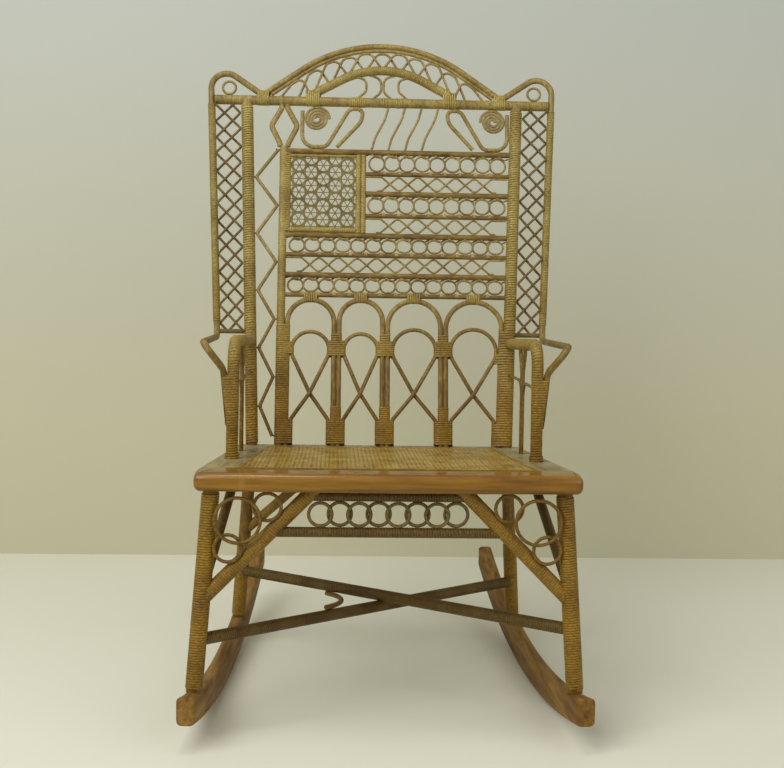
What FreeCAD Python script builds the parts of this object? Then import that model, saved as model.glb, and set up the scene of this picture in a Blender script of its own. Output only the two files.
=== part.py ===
"""Wicker rocking chair: caned wooden seat, reed back with a banded panel, curved rockers. Millimetres.

Front is -Y, up is +Z, the origin is on the floor under the middle of the rockers.
The seat is drawn in its own frame (y back from the front edge, z up from the top face) and the back in
another (x across, z up along the posts, -y to the front), each carried to its place by one placement.
"""
import math
import os

import FreeCAD
import Part
from FreeCAD import Placement, Rotation, Vector

os.makedirs("parts", exist_ok=True)
doc = FreeCAD.newDocument("RockingChair")
sheet = doc.addObject("Spreadsheet::Sheet", "Sizes")

sizes = {
    # seat
    "seat_width": 550.0,
    "seat_rear_width": 486.0,
    "seat_depth": 462.0,
    "seat_height": 391.3,
    "seat_slope": 3.15,
    "seat_thickness": 27.0,
    "front_rail_depth": 70.0,
    "side_rail_width": 66.0,
    "front_bow": 8.0,
    "front_round": 12.0,
    "groove_depth": 5.0,
    "spline_inset": 10.0,
    "spline_width": 5.0,
    "cane_thickness": 1.6,
    "dowel_diameter": 8.0,
    "dowel_length": 40.0,
    # rockers
    "rocker_length": 820.0,
    "rocker_lead": 40.0,
    "rocker_radius": 1500.0,
    "rocker_height": 40.0,
    "rocker_width": 26.0,
    "rocker_front_outset": 5.0,
    "rocker_rear_inset": 15.0,
    "rest_point": 311.4,
    "pin_diameter": 6.0,
    "pin_drop": 13.0,
    # legs and bars
    "front_leg_diameter": 22.8,
    "rear_leg_diameter": 21.5,
    "wrap_thickness": 1.5,
    "leg_tenon_diameter": 14.0,
    "rocker_tenon_length": 25.0,
    "seat_tenon_length": 11.0,
    "front_leg_side_inset": 23.0,
    "front_leg_inset": 27.0,
    "rear_leg_side_inset": 20.0,
    "rear_leg_inset": 17.0,
    "rear_leg_rake": 50.0,
    "rear_wrap_top": 190.0,
    "stretcher_diameter": 17.5,
    "stretcher_front_height": 154.0,
    "stretcher_rear_height": 129.0,
    "bow_rod": 8.0,
    "bow_setback": 88.0,
    "bow_reach": 24.0,
    "brace_diameter": 20.5,
    "side_brace_diameter": 14.0,
    "rear_brace_diameter": 16.0,
    "brace_foot_height": 204.0,
    "front_brace_run": 144.0,
    "side_brace_reach": 150.0,
    "rear_brace_reach": 95.0,
    # apron
    "apron_top_diameter": 14.0,
    "apron_rail_diameter": 14.0,
    "apron_ring_outer": 38.0,
    "apron_ring_margin": 25.0,
    "apron_ring_count": 8,
    "ring_rod": 5.0,
    "corner_ring_outer": 69.4,
    "corner_ring_run": 38.6,
    "corner_ring_drop": 40.9,
    "small_ring_outer": 44.0,
    "high_ring_run": 80.2,
    "low_ring_run": 24.6,
    "low_ring_drop": 81.9,
    # back frame
    "back_recline": 13.9,
    "back_inset": 17.0,
    "post_diameter": 19.0,
    "post_foot_spread": 442.0,
    "post_top_spread": 486.6,
    "post_tenon_diameter": 12.0,
    "rail_level": 623.0,
    "top_rail_diameter": 17.0,
    "wing_rod": 11.0,
    "wing_top_spread": 614.0,
    "wing_foot_spread": 572.0,
    "ear_run": 86.9,
    "ear_lap": 2.5,
    "ear_radius": 35.0,
    "ear_ring_outer": 35.0,
    "thin_rod": 4.4,
    "wing_pitch": 30.7,
    "wing_drop": 12.0,
    "wing_foot_rod": 8.0,
    "wing_foot_lift": 10.0,
    "wing_bend": 3.0,
    # crest
    "crest_apex": 730.0,
    "crest_rod": 10.0,
    "crest_under_rod": 6.5,
    "crest_angle": 35.5,
    "arch_apex": 684.0,
    "arch_diameter": 15.5,
    "arch_radius": 154.0,
    "arch_angle": 29.0,
    "crest_pitch": 31.0,
    # panel
    "stile_position": -175.5,
    "stile_diameter": 14.0,
    "panel_top": 529.6,
    "loop_row_high": 40.3,
    "loop_row_low": 36.0,
    "wave_row": 36.7,
    "panel_rail_diameter": 10.0,
    "panel_thin_rail": 8.0,
    "row_rod": 3.6,
    "loop_pitch": 27.2,
    "loop_width": 30.4,
    "wave_pitch": 34.0,
    "wave_bend": 8.0,
    "canton_width": 116.0,
    "canton_rod": 9.0,
    "canton_edge_rod": 6.0,
    "canton_sheet": 1.6,
    "star_pitch": 25.0,
    "star_hole": 5.4,
    "star_reach": 7.5,
    "zigzag_rod": 6.0,
    "zigzag_pitch": 51.5,
    # band under the top rail
    "diamond_rod": 10.0,
    "diamond_half_width": 23.5,
    "coil_rod": 4.8,
    "coil_gap": 0.6,
    "coil_turns": 3.5,
    "scroll_rod": 7.2,
    "strand_step": 30.0,
    # arcade
    "first_bay": 0.240,
    "second_bay": 0.225,
    "third_bay": 0.270,
    "arch_rod": 9.0,
    "ribbon_rod": 7.0,
    "ribbon_level": 168.0,
    "ribbon_cross": 92.0,
    "ribbon_foot": 45.0,
    "binding_thickness": 1.4,
    "binding_top": 207.0,
    "post_wrap_foot": 228.0,
    # arms
    "arm_diameter": 18.0,
    "arm_height": 563.0,
    "arm_post_setback": 204.0,
    "arm_post_side_inset": 23.87,
    "arm_post_lean": 3.5,
    "arm_lead": 9.0,
    "arm_bend": 28.0,
    "arm_tenon_diameter": 11.0,
    "hand_rod_reach": 45.5,
    "hand_rod_lead": 27.0,
    "hand_rod_drop": 1.0,
    "merge_drop": 45.0,
    "scarf_length": 85.0,
    "spindle_setback": 336.0,
    "spindle_rod": 6.8,
    "fork_spread": 27.0,
    "tie_rod": 5.0,
    # fits
    "gap": 0.1,
    "socket_clearance": 0.15,
}
for row, (alias, value) in enumerate(sizes.items(), start=1):
    sheet.set("A%d" % row, alias.replace("_", " "))
    sheet.set("B%d" % row, str(value))
    sheet.setAlias("B%d" % row, alias)
doc.recompute()


def size(alias):
    return float(sheet.get(alias))


gap = size("gap")
fit = size("socket_clearance")
wrap = size("wrap_thickness")
thin = size("thin_rod")
layer = thin / 2 + gap / 2


# frames
seatFront = size("rocker_lead") - size("rocker_length") / 2
seatTilt = Rotation(Vector(1, 0, 0), -size("seat_slope"))
seatPlace = Placement(Vector(0, seatFront, size("seat_height")), seatTilt)
backY = size("seat_depth") - size("back_inset")
backFoot = seatPlace.multVec(Vector(0, backY, 0))
backPlace = Placement(backFoot, Rotation(Vector(1, 0, 0), -size("back_recline")))


def onSeat(x, y, z=0.0):
    return seatPlace.multVec(Vector(x, y, z))


def onBack(x, v, w=0.0):
    """World place of a point x across, v up the back and w in front of its plane."""
    return backPlace.multVec(Vector(x, -w, v))


# shapes
def rodShape(start, end, diameter):
    run = end - start
    return Part.makeCylinder(diameter / 2, run.Length, start, run)


def filletPath(points, radius):
    """Wire of straight runs joined by tangent arcs at every inner point."""
    points = [Vector(*p) for p in points]
    edges = []
    last = points[0]
    for i in range(1, len(points) - 1):
        before = points[i] - points[i - 1]
        after = points[i + 1] - points[i]
        turn = before.getAngle(after)
        if turn < 0.002:
            continue
        r = radius[i] if isinstance(radius, (list, tuple)) else radius
        reach = min(r * math.tan(turn / 2), 0.4995 * before.Length, 0.4995 * after.Length)
        a = points[i] - before.normalize() * reach
        b = points[i] + after.normalize() * reach
        bend = reach / math.tan(turn / 2)
        toCentre = ((a - points[i]) + (b - points[i])).normalize()
        centre = points[i] + toCentre * math.hypot(reach, bend)
        middle = centre - toCentre * bend
        if (a - last).Length > 0.01:
            edges.append(Part.makeLine(last, a))
        edges.append(Part.Arc(a, middle, b).toShape())
        last = b
    if (points[-1] - last).Length > 0.01:
        edges.append(Part.makeLine(last, points[-1]))
    return Part.Wire(edges)


def pipe(wire, diameter):
    first = wire.OrderedEdges[0]
    start = first.valueAt(first.FirstParameter)
    heading = first.tangentAt(first.FirstParameter)
    if (start - wire.OrderedVertexes[0].Point).Length > 0.001:
        start = first.valueAt(first.LastParameter)
        heading = first.tangentAt(first.LastParameter)
    profile = Part.Wire(Part.makeCircle(diameter / 2, start, heading))
    shape = wire.makePipeShell([profile], True, False)
    return shape


def bent(points, diameter, radius):
    return pipe(filletPath(points, radius), diameter)


def flat(points, w=0.0):
    """Points of the back plane as drawn in its own frame, w in front."""
    return [(x, -w, v) for x, v in points]


def arcCorners(x, v, radius, start, end, count):
    """Corners whose tangent arcs make one round arc, angles in degrees from +x."""
    step = (end - start) / count
    out = radius / math.cos(math.radians(step / 2))
    angles = [math.radians(start + step * (i + 0.5)) for i in range(count)]
    return [(x + out * math.cos(a), v + out * math.sin(a)) for a in angles]


def ringShape(centre, outer, rod, axis=Vector(0, 1, 0)):
    return Part.makeTorus(outer / 2 - rod / 2, rod / 2, centre, axis)


def slab(points, low, high):
    corners = [Vector(x, y, low) for x, y in points]
    face = Part.Face(Part.makePolygon(corners + corners[:1]))
    return face.extrude(Vector(0, 0, high - low))


def mirrored(shape):
    return shape.mirror(Vector(0, 0, 0), Vector(1, 0, 0))


def many(shapes):
    flatList = []
    for s in shapes:
        flatList.extend(s.Solids)
    return Part.makeCompound(flatList) if len(flatList) > 1 else flatList[0]


nodes = {}


def feature(name, shape, place=None):
    item = doc.addObject("Part::Feature", name)
    item.Shape = shape
    if place is not None:
        item.Placement = place
    nodes[name] = item
    return item


def cylinder(name, start, end, radius, before=0.0, after=0.0):
    """Cylinder object from start to end, its radius an expression on the sheet."""
    run = end - start
    item = doc.addObject("Part::Cylinder", name)
    item.setExpression("Radius", radius)
    item.Height = run.Length + before + after
    base = start - Vector(run).normalize() * before
    item.Placement = Placement(base, Rotation(Vector(0, 0, 1), run))
    return item


def cut(name, base, tools):
    tool = tools[0]
    if len(tools) > 1:
        tool = doc.addObject("Part::Compound", name + "_tools")
        tool.Links = tools
    item = doc.addObject("Part::Cut", name)
    item.Base = base
    item.Tool = tool
    return item


def fused(name, shapes):
    item = doc.addObject("Part::MultiFuse", name)
    item.Shapes = shapes
    return item


def tool(name, shape):
    item = doc.addObject("Part::Feature", name)
    item.Shape = shape
    return item


# rockers: a ring of the rocking radius, cut to length by a box
rockerHalf = size("rocker_length") / 2
frontSpread = size("seat_width") + 2 * size("rocker_front_outset")
rearSpread = size("seat_rear_width") - 2 * size("rocker_rear_inset")
toe = math.atan2(frontSpread - rearSpread, 2 * size("rocker_length"))
rockerMid = (frontSpread + rearSpread) / 4
restY = seatFront + size("rest_point")
restAlong = restY / math.cos(toe)
radius = size("rocker_radius")


def rockerX(y):
    return rockerMid - y * math.tan(toe)


def rockerTop(y):
    along = y / math.cos(toe) - restAlong
    inner = radius - size("rocker_height")
    return radius - math.sqrt(inner * inner - along * along)


half = size("seat_width") / 2
rearHalf = size("seat_rear_width") / 2
depth = size("seat_depth")
thick = size("seat_thickness")


def halfWidth(y):
    return half + (rearHalf - half) * y / depth


legTopY = size("front_leg_inset")
frontTop = onSeat(half - size("front_leg_side_inset"), legTopY, -thick)
frontFootY = frontTop.y + 2.0
frontFoot = Vector(rockerX(frontFootY), frontFootY, rockerTop(frontFootY))
rearTop = onSeat(rearHalf - size("rear_leg_side_inset"), depth - size("rear_leg_inset"), -thick)
rearFootY = rearTop.y + size("rear_leg_rake")
rearFoot = Vector(rockerX(rearFootY), rearFootY, rockerTop(rearFootY))
frontWrapped = size("front_leg_diameter") / 2 + wrap
rearWrapped = size("rear_leg_diameter") / 2 + wrap


def side(point, sign):
    return Vector(sign * point.x, point.y, point.z)


def along(start, end, z):
    """Point of the line start-end at height z."""
    t = (z - start.z) / (end.z - start.z)
    return start + (end - start) * t


seatUnder = tool("seat_under", slab([(-500, -200), (500, -200), (500, 900), (-500, 900)], -thick, 60))
seatUnder.Placement = Placement(seatPlace.Base, seatPlace.Rotation)
tenonReach = size("rocker_tenon_length")
seatReach = size("seat_tenon_length")
sockets = {"front": [], "rear": [], "left": [], "right": []}
rockerCuts = {1: [], -1: []}
pins = []
for sign, hand in ((-1, "left"), (1, "right")):
    turn = Rotation(Vector(0, 0, 1), math.degrees(toe) * sign)
    toAxis = turn.multVec(Vector(1, 0, 0))
    centreBase = Vector(sign * rockerMid, 0, 0) + turn.multVec(Vector(0, restAlong, 0)) + Vector(0, 0, radius)
    w = size("rocker_width")
    inner = cylinder("rocker_hollow_" + hand, centreBase - toAxis * 60, centreBase + toAxis * 60,
                     "Sizes.rocker_radius - Sizes.rocker_height")
    outer = cylinder("rocker_round_" + hand, centreBase - toAxis * w / 2, centreBase + toAxis * w / 2,
                     "Sizes.rocker_radius")
    plank = doc.addObject("Part::Box", "rocker_length_" + hand)
    plank.setExpression("Length", "Sizes.rocker_width")
    plank.setExpression("Width", "Sizes.rocker_length / cos(%.6f)" % math.degrees(toe))
    plank.Height = 400
    corner = Vector(-w / 2, -rockerHalf / math.cos(toe), -20)
    plank.Placement = Placement(Vector(sign * rockerMid, 0, 0) + turn.multVec(corner), turn)
    ringPart = cut("rocker_ring_" + hand, outer, [inner])
    sawn = doc.addObject("Part::MultiCommon", "rocker_sawn_" + hand)
    sawn.Shapes = [ringPart, plank]
    for which, foot, top, pole, outerRadius in (
        ("front", frontFoot, frontTop, "Sizes.front_leg_diameter / 2", frontWrapped),
        ("rear", rearFoot, rearTop, "Sizes.rear_leg_diameter / 2", rearWrapped),
    ):
        name = "%s_leg_%s" % (which, hand)
        low = side(foot, sign)
        high = side(top, sign)
        heading = (high - low).normalize()
        shaft = cylinder(name + "_shaft", low, high, pole, 30, 30)
        trimmed = doc.addObject("Part::MultiCommon", name + "_on_rocker")
        trimmed.Shapes = [shaft, inner]
        under = cut(name + "_under_seat", trimmed, [seatUnder])
        tenon = cylinder(name + "_tenon", low - heading * tenonReach, high + heading * seatReach,
                         "Sizes.leg_tenon_diameter / 2")
        pinAt = low - heading * size("pin_drop")
        pinHole = cylinder(name + "_pin_hole", pinAt - toAxis * 40, pinAt + toAxis * 40,
                           "Sizes.pin_diameter / 2 + Sizes.socket_clearance")
        whole = fused(name + "_whole", [under, tenon])
        nodes[name] = cut(name, whole, [pinHole])
        mortise = cylinder(name + "_mortise", low - heading * (tenonReach + 0.5), low + heading * 30,
                           "Sizes.leg_tenon_diameter / 2 + Sizes.socket_clearance")
        rockerCuts[sign] += [mortise, pinHole]
        socket = cylinder(name + "_socket", high - heading * 30, high + heading * (seatReach + 0.5),
                          "Sizes.leg_tenon_diameter / 2 + Sizes.socket_clearance")
        sockets["front" if which == "front" else hand].append(socket)
        pin = cylinder(name + "_pin", pinAt - toAxis * (w / 2 - 0.3), pinAt + toAxis * (w / 2 - 0.3),
                       "Sizes.pin_diameter / 2")
        pins.append(pin)
    nodes["rocker_" + hand] = cut("rocker_" + hand, sawn, rockerCuts[sign])
pinGroup = doc.addObject("Part::Compound", "rocker_pins")
pinGroup.Links = pins
nodes["rocker_pins"] = pinGroup


# wound cane on the legs
def sleeve(start, end, inner, outer):
    return rodShape(start, end, 2 * outer).cut(rodShape(start, end, 2 * inner))


wraps = []
for sign in (-1, 1):
    low = side(along(frontFoot, frontTop, frontFoot.z + 7), sign)
    high = side(along(frontFoot, frontTop, frontTop.z - 5), sign)
    wraps.append(sleeve(low, high, size("front_leg_diameter") / 2 + 0.05, frontWrapped))
    low = side(along(rearFoot, rearTop, rearFoot.z + 5), sign)
    high = side(along(rearFoot, rearTop, size("rear_wrap_top")), sign)
    wraps.append(sleeve(low, high, size("rear_leg_diameter") / 2 + 0.05, rearWrapped))
feature("leg_wraps", many(wraps))


# seat frame: sketches on the seat plane, padded down
def railBody(name, points, bow=0.0):
    body = doc.addObject("PartDesign::Body", name + "_body")
    sketch = body.newObject("Sketcher::SketchObject", name + "_outline")
    plane = [f for f in body.Origin.OriginFeatures if getattr(f, "Role", "") == "XY_Plane"][0]
    sketch.AttachmentSupport = [(plane, "")]
    sketch.MapMode = "FlatFace"
    corners = [Vector(x, y, 0) for x, y in points]
    for i, here in enumerate(corners):
        there = corners[(i + 1) % len(corners)]
        if i == 0 and bow:
            mid = (here + there) / 2 - Vector(0, bow, 0)
            sketch.addGeometry(Part.Arc(here, mid, there))
        else:
            sketch.addGeometry(Part.LineSegment(here, there))
    pad = body.newObject("PartDesign::Pad", name + "_pad")
    pad.Profile = sketch
    pad.Reversed = True
    pad.setExpression("Length", "Sizes.seat_thickness")
    doc.recompute()
    if bow:
        round_ = body.newObject("PartDesign::Fillet", name + "_round")
        edges = []
        for i, edge in enumerate(pad.Shape.Edges, start=1):
            if edge.Length > half and abs(edge.CenterOfMass.y) < bow + 1 and edge.BoundBox.ZLength < 0.01:
                edges.append("Edge%d" % i)
        round_.Base = (pad, edges)
        round_.setExpression("Radius", "Sizes.front_round")
        body.Tip = round_
        doc.recompute()
    body.Placement = seatPlace
    return body


frontDepth = size("front_rail_depth")
railWidth = size("side_rail_width")
outlines = {
    "front": [(-half, 0), (half, 0),
              (halfWidth(frontDepth), frontDepth), (-halfWidth(frontDepth), frontDepth)],
    "right": [(halfWidth(frontDepth), frontDepth), (halfWidth(depth), depth),
              (halfWidth(depth) - railWidth, depth), (halfWidth(frontDepth) - railWidth, frontDepth)],
}
outlines["left"] = [(-x, y) for x, y in reversed(outlines["right"])]
rearLine = depth - railWidth
outlines["rear"] = [(halfWidth(rearLine) - railWidth, rearLine), (halfWidth(depth) - railWidth, depth),
                    (-halfWidth(depth) + railWidth, depth), (-halfWidth(rearLine) + railWidth, rearLine)]


def opening(grow):
    """Corners of the frame opening, moved outward by grow."""
    low = frontDepth - grow
    high = rearLine + grow
    return [(-halfWidth(low) + railWidth - grow, low), (halfWidth(low) - railWidth + grow, low),
            (halfWidth(high) - railWidth + grow, high), (-halfWidth(high) + railWidth - grow, high)]


inset = size("spline_inset")
broad = size("spline_width")
grooveDeep = size("groove_depth")
grooveShape = slab(opening(inset + broad / 2), -grooveDeep, grooveDeep)
grooveShape = grooveShape.cut(slab(opening(inset - broad / 2), -grooveDeep, grooveDeep))
groove = tool("spline_groove", grooveShape)
groove.Placement = seatPlace
dowels = []
dowelHoles = {"front": [], "rear": [], "left": [], "right": []}
reach = size("dowel_length") / 2
for sign, hand in ((-1, "left"), (1, "right")):
    for inward in (0.3, 0.7):
        x = sign * (halfWidth(frontDepth) - railWidth * inward)
        a = onSeat(x, frontDepth - reach, -thick * 0.6)
        b = onSeat(x, frontDepth + reach, -thick * 0.6)
        label = "front_dowel_%s_%d" % (hand, int(inward * 10))
        dowels.append(cylinder(label, a, b, "Sizes.dowel_diameter / 2"))
        hole = cylinder(label + "_hole", a, b, "Sizes.dowel_diameter / 2 + Sizes.socket_clearance", 0.5, 0.5)
        dowelHoles["front"].append(hole)
        dowelHoles[hand].append(hole)
        y = rearLine + railWidth * (0.3 + (inward - 0.3))
        x = halfWidth(y) - railWidth
        a = onSeat(sign * (x - reach), y - 10, -thick * 0.6)
        b = onSeat(sign * (x + reach * 0.7), y - 10, -thick * 0.6)
        label = "rear_dowel_%s_%d" % (hand, int(inward * 10))
        dowels.append(cylinder(label, a, b, "Sizes.dowel_diameter / 2"))
        hole = cylinder(label + "_hole", a, b, "Sizes.dowel_diameter / 2 + Sizes.socket_clearance", 0.5, 0.5)
        dowelHoles["rear"].append(hole)
        dowelHoles[hand].append(hole)
dowelGroup = doc.addObject("Part::Compound", "seat_dowels")
dowelGroup.Links = dowels
nodes["seat_dowels"] = dowelGroup

# arm post and back post sockets from above
armY = size("arm_post_setback")
armFoot = onSeat(halfWidth(armY) - size("arm_post_side_inset"), armY, 0)
armTop = Vector(armFoot.x - size("arm_post_lean"), armFoot.y - size("arm_lead"), size("arm_height"))
postRadius = size("post_diameter") / 2
postOuter = postRadius + wrap
railLevel = size("rail_level")
railRadius = size("top_rail_diameter") / 2


def postX(v):
    low = size("post_foot_spread") / 2
    return low + (size("post_top_spread") / 2 - low) * v / railLevel


for sign, hand in ((-1, "left"), (1, "right")):
    heading = (side(armTop, sign) - side(armFoot, sign)).normalize()
    sockets[hand].append(cylinder("arm_socket_" + hand, side(armFoot, sign) - heading * 15.5,
                                  side(armFoot, sign) + heading * 20,
                                  "Sizes.arm_tenon_diameter / 2 + Sizes.socket_clearance"))
    foot = onBack(sign * postX(0), 0)
    heading = (onBack(sign * postX(railLevel), railLevel) - foot).normalize()
    sockets[hand].append(cylinder("post_socket_" + hand, foot - heading * 11.5, foot + heading * 20,
                                  "Sizes.post_tenon_diameter / 2 + Sizes.socket_clearance"))
for which in ("front", "rear", "left", "right"):
    body = railBody("seat_%s" % which, outlines[which], size("front_bow") if which == "front" else 0.0)
    label = "seat_%s_rail" % which
    nodes[label] = cut(label, body, [groove] + dowelHoles[which] + sockets[which])

caneInset = inset - broad / 2 - 0.05
cane = slab(opening(caneInset), 0, size("cane_thickness"))
feature("seat_cane", cane, seatPlace)
splineLow = fit - grooveDeep
splineShape = slab(opening(inset + broad / 2 - fit), splineLow, size("cane_thickness"))
splineShape = splineShape.cut(slab(opening(inset - broad / 2 + fit), splineLow, size("cane_thickness")))
feature("cane_spline", splineShape, seatPlace)

# stretchers, one over the other, coped to the legs
barRadius = size("stretcher_diameter") / 2
legTools = {}
for sign, hand in ((-1, "left"), (1, "right")):
    legTools[("front", hand)] = cylinder("front_clear_" + hand, side(frontFoot, sign), side(frontTop, sign),
                                         "Sizes.front_leg_diameter / 2 + Sizes.wrap_thickness + Sizes.gap")
    wrapEnd = along(rearFoot, rearTop, size("rear_wrap_top"))
    legTools[("rear", hand)] = cylinder("rear_clear_" + hand, side(rearFoot, sign), side(wrapEnd, sign),
                                        "Sizes.rear_leg_diameter / 2 + Sizes.wrap_thickness + Sizes.gap")
    legTools[("bare", hand)] = cylinder("bare_clear_" + hand, side(rearFoot, sign), side(rearTop, sign),
                                        "Sizes.rear_leg_diameter / 2 + Sizes.gap")
barLift = (size("stretcher_diameter") + gap) / 2
bars = {}
for name, sign, lift in (("stretcher_lower", -1, -barLift), ("stretcher_upper", 1, barLift)):
    a = side(along(frontFoot, frontTop, size("stretcher_front_height") + lift), sign)
    b = side(along(rearFoot, rearTop, size("stretcher_rear_height") + lift), -sign)
    bars[name] = (a, b)
    hand = "left" if sign < 0 else "right"
    other = "right" if sign < 0 else "left"
    bar = cylinder(name + "_bar", a, b, "Sizes.stretcher_diameter / 2")
    nodes[name] = cut(name, bar, [legTools[("front", hand)], legTools[("rear", other)]])

# bent bow that links the two stretchers on the left
lowA, lowB = bars["stretcher_lower"]
upA, upB = bars["stretcher_upper"]


def onBar(bar, x):
    a, b = bar
    return a + (b - a) * ((x - a.x) / (b.x - a.x))


bowRadius = size("bow_rod") / 2
bowOff = Vector(0, 0, barRadius + bowRadius + gap + 0.4)
startBow = onBar(bars["stretcher_lower"], -size("bow_setback")) + bowOff
endBow = onBar(bars["stretcher_upper"], -size("bow_setback")) - bowOff
midBow = (startBow + endBow) / 2 + Vector(size("bow_reach"), 0, 0)
bowWire = Part.Wire(Part.Arc(startBow, midBow, endBow).toShape())
feature("stretcher_bow", pipe(bowWire, size("bow_rod")))

# braces from leg to seat frame
braceRadius = size("brace_diameter") / 2
braceZ = size("brace_foot_height")
braceReach = frontTop.x - size("front_brace_run")
underZ = onSeat(0, legTopY, -thick).z
braceGroups = {"side_brace_pair": [], "rear_brace_pair": []}
for sign, hand in ((-1, "left"), (1, "right")):
    legPoint = side(along(frontFoot, frontTop, braceZ), sign)
    front = Vector(sign * braceReach, frontTop.y, underZ)
    sideY = legTopY + size("side_brace_reach")
    sideTop = onSeat(sign * (halfWidth(sideY) - railWidth / 2), sideY, -thick)
    rearPoint = side(along(rearFoot, rearTop, braceZ + 8), sign)
    rear = onSeat(sign * size("rear_brace_reach"), depth - railWidth / 2, -thick)
    for label, a, b, clear, radiusOf in (
        ("front_brace_", legPoint, front, "front", "Sizes.brace_diameter / 2"),
        ("side_brace_", legPoint, sideTop, "front", "Sizes.side_brace_diameter / 2"),
        ("rear_brace_", rearPoint, rear, "bare", "Sizes.rear_brace_diameter / 2"),
    ):
        name = label + hand
        start = a
        if label == "side_brace_":
            start = side(along(frontFoot, frontTop, braceZ + 14), sign)
        bar = cylinder(name + "_bar", start, b, radiusOf, 0, 25)
        tools = [legTools[(clear, hand)], seatUnder]
        if label == "side_brace_":
            tools.append(cylinder("front_brace_clear_" + hand, legPoint, front,
                                  "Sizes.brace_diameter / 2 + Sizes.gap", 0, 25))
        piece = cut(name, bar, tools)
        if label == "front_brace_":
            nodes[name] = piece
        else:
            braceGroups[label + "pair"].append(piece)
for name, pieces in braceGroups.items():
    group = doc.addObject("Part::Compound", name)
    group.Links = pieces
    nodes[name] = group

# apron under the front rail
apronY = frontTop.y
topRadius = size("apron_top_diameter") / 2
apronTopZ = underZ - topRadius - 0.4
ringOuter = size("apron_ring_outer")
railZ = apronTopZ - topRadius - ringOuter - 2 * gap - size("apron_rail_diameter") / 2


def braceX(z):
    a = along(frontFoot, frontTop, braceZ)
    return a.x + (braceReach - a.x) * (z - a.z) / (underZ - a.z)


braceTools = []
for sign, hand in ((-1, "left"), (1, "right")):
    a = side(along(frontFoot, frontTop, braceZ), sign)
    b = Vector(sign * braceReach, apronY, underZ)
    braceTools.append(cylinder("brace_clear_" + hand, a, b, "Sizes.brace_diameter / 2 + Sizes.gap", 0, 25))
for name, z, expr in (("apron_top_rail", apronTopZ, "Sizes.apron_top_diameter / 2"),
                      ("apron_rail", railZ, "Sizes.apron_rail_diameter / 2")):
    reachX = braceX(z)
    bar = cylinder(name + "_bar", Vector(-reachX, apronY, z), Vector(reachX, apronY, z), expr)
    nodes[name] = cut(name, bar, braceTools + [seatUnder])
ringRod = size("ring_rod")
ringZ = apronTopZ - topRadius - gap - ringOuter / 2
count = int(size("apron_ring_count"))
ringLift = (ringRod + gap) / 2
ringSpan = 2 * (braceX(ringZ) - size("apron_ring_margin"))
ringPitch = (ringSpan - ringOuter) / (count - 1)
rings = []
for i in range(count):
    x = (i - (count - 1) / 2) * ringPitch
    y = apronY + (ringLift if i % 2 else -ringLift)
    rings.append(ringShape(Vector(x, y, ringZ), ringOuter, ringRod))
feature("apron_rings", many(rings))

# corner rings: two small ones in front of leg and brace, a large one in front of both
legLow = along(frontFoot, frontTop, braceZ)
legDir = Vector(frontTop.x - frontFoot.x, 0, frontTop.z - frontFoot.z).normalize()
braceDir = Vector(braceReach - legLow.x, 0, underZ - legLow.z).normalize()


def ringDepth(x, z, outer):
    """How far in front of the leg line a ring has to lie to touch leg or brace from the front."""
    run = (outer - ringRod) / 2
    far = 0.0
    for heading, barRound in ((legDir, frontWrapped), (braceDir, braceRadius)):
        off = abs((x - legLow.x) * heading.z - (z - legLow.z) * heading.x)
        miss = max(off - run, 0.0)
        touch = barRound + ringRod / 2 + gap
        if miss < touch:
            far = max(far, math.sqrt(touch * touch - miss * miss))
    return far


smallOuter = size("small_ring_outer")
cornerRings = []
frontDepths = []
for run, drop in ((size("high_ring_run"), smallOuter / 2 + 0.5),
                  (size("low_ring_run"), size("low_ring_drop"))):
    x = frontTop.x - run
    z = underZ - drop
    far = ringDepth(x, z, smallOuter)
    frontDepths.append(far)
    cornerRings.append(ringShape(Vector(x, apronY - far, z), smallOuter, ringRod))
x = frontTop.x - size("corner_ring_run")
z = underZ - size("corner_ring_drop")
far = max(frontDepths) + ringRod + gap
cornerRings.append(ringShape(Vector(x, apronY - far, z), size("corner_ring_outer"), ringRod))
feature("corner_rings", many(cornerRings + [mirrored(s) for s in cornerRings]))

# back posts with tenons, and their wound cane; drawn in the back frame from here on
seatLocal = slab([(-500, -200), (500, -200), (500, 900), (-500, 900)], -80, 0.05)
seatLocal.Placement = backPlace.inverse().multiply(seatPlace)
railTool = rodShape(Vector(-400, 0, railLevel), Vector(400, 0, railLevel), 2 * (railRadius + gap))
postWraps = []
postTools = {}
for sign, hand in ((-1, "left"), (1, "right")):
    foot = Vector(sign * postX(0), 0, 0)
    head = Vector(sign * postX(railLevel), 0, railLevel)
    heading = (head - foot).normalize()
    pole = rodShape(foot - heading * 8, head, 2 * postRadius).cut(seatLocal).cut(railTool)
    tenon = rodShape(foot - heading * 11, foot + heading * 10, size("post_tenon_diameter"))
    feature("back_post_" + hand, pole.fuse(tenon).removeSplitter(), backPlace)
    low = foot + heading * (4 if sign < 0 else size("post_wrap_foot"))
    high = head - heading * (railRadius + 4)
    postWraps.append(sleeve(low, high, postRadius + 0.05, postOuter))
    postTools[hand] = rodShape(foot - heading * 20, head, 2 * (postOuter + gap))
feature("post_wraps", many(postWraps), backPlace)

# wing rods: over the ear, down the wing, forward along the arm and down to the arm post
wingRadius = size("wing_rod") / 2
wingTop = size("wing_top_spread") / 2
wingFoot = size("wing_foot_spread") / 2
railX = wingTop - wingRadius - gap - 0.35
bendZ = size("arm_height") - size("wing_drop")
bendV = (bendZ - backFoot.z) / math.cos(math.radians(size("back_recline")))


def wingX(v):
    return wingFoot + (wingTop - wingFoot) * (v - bendV) / (railLevel - bendV)


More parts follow.
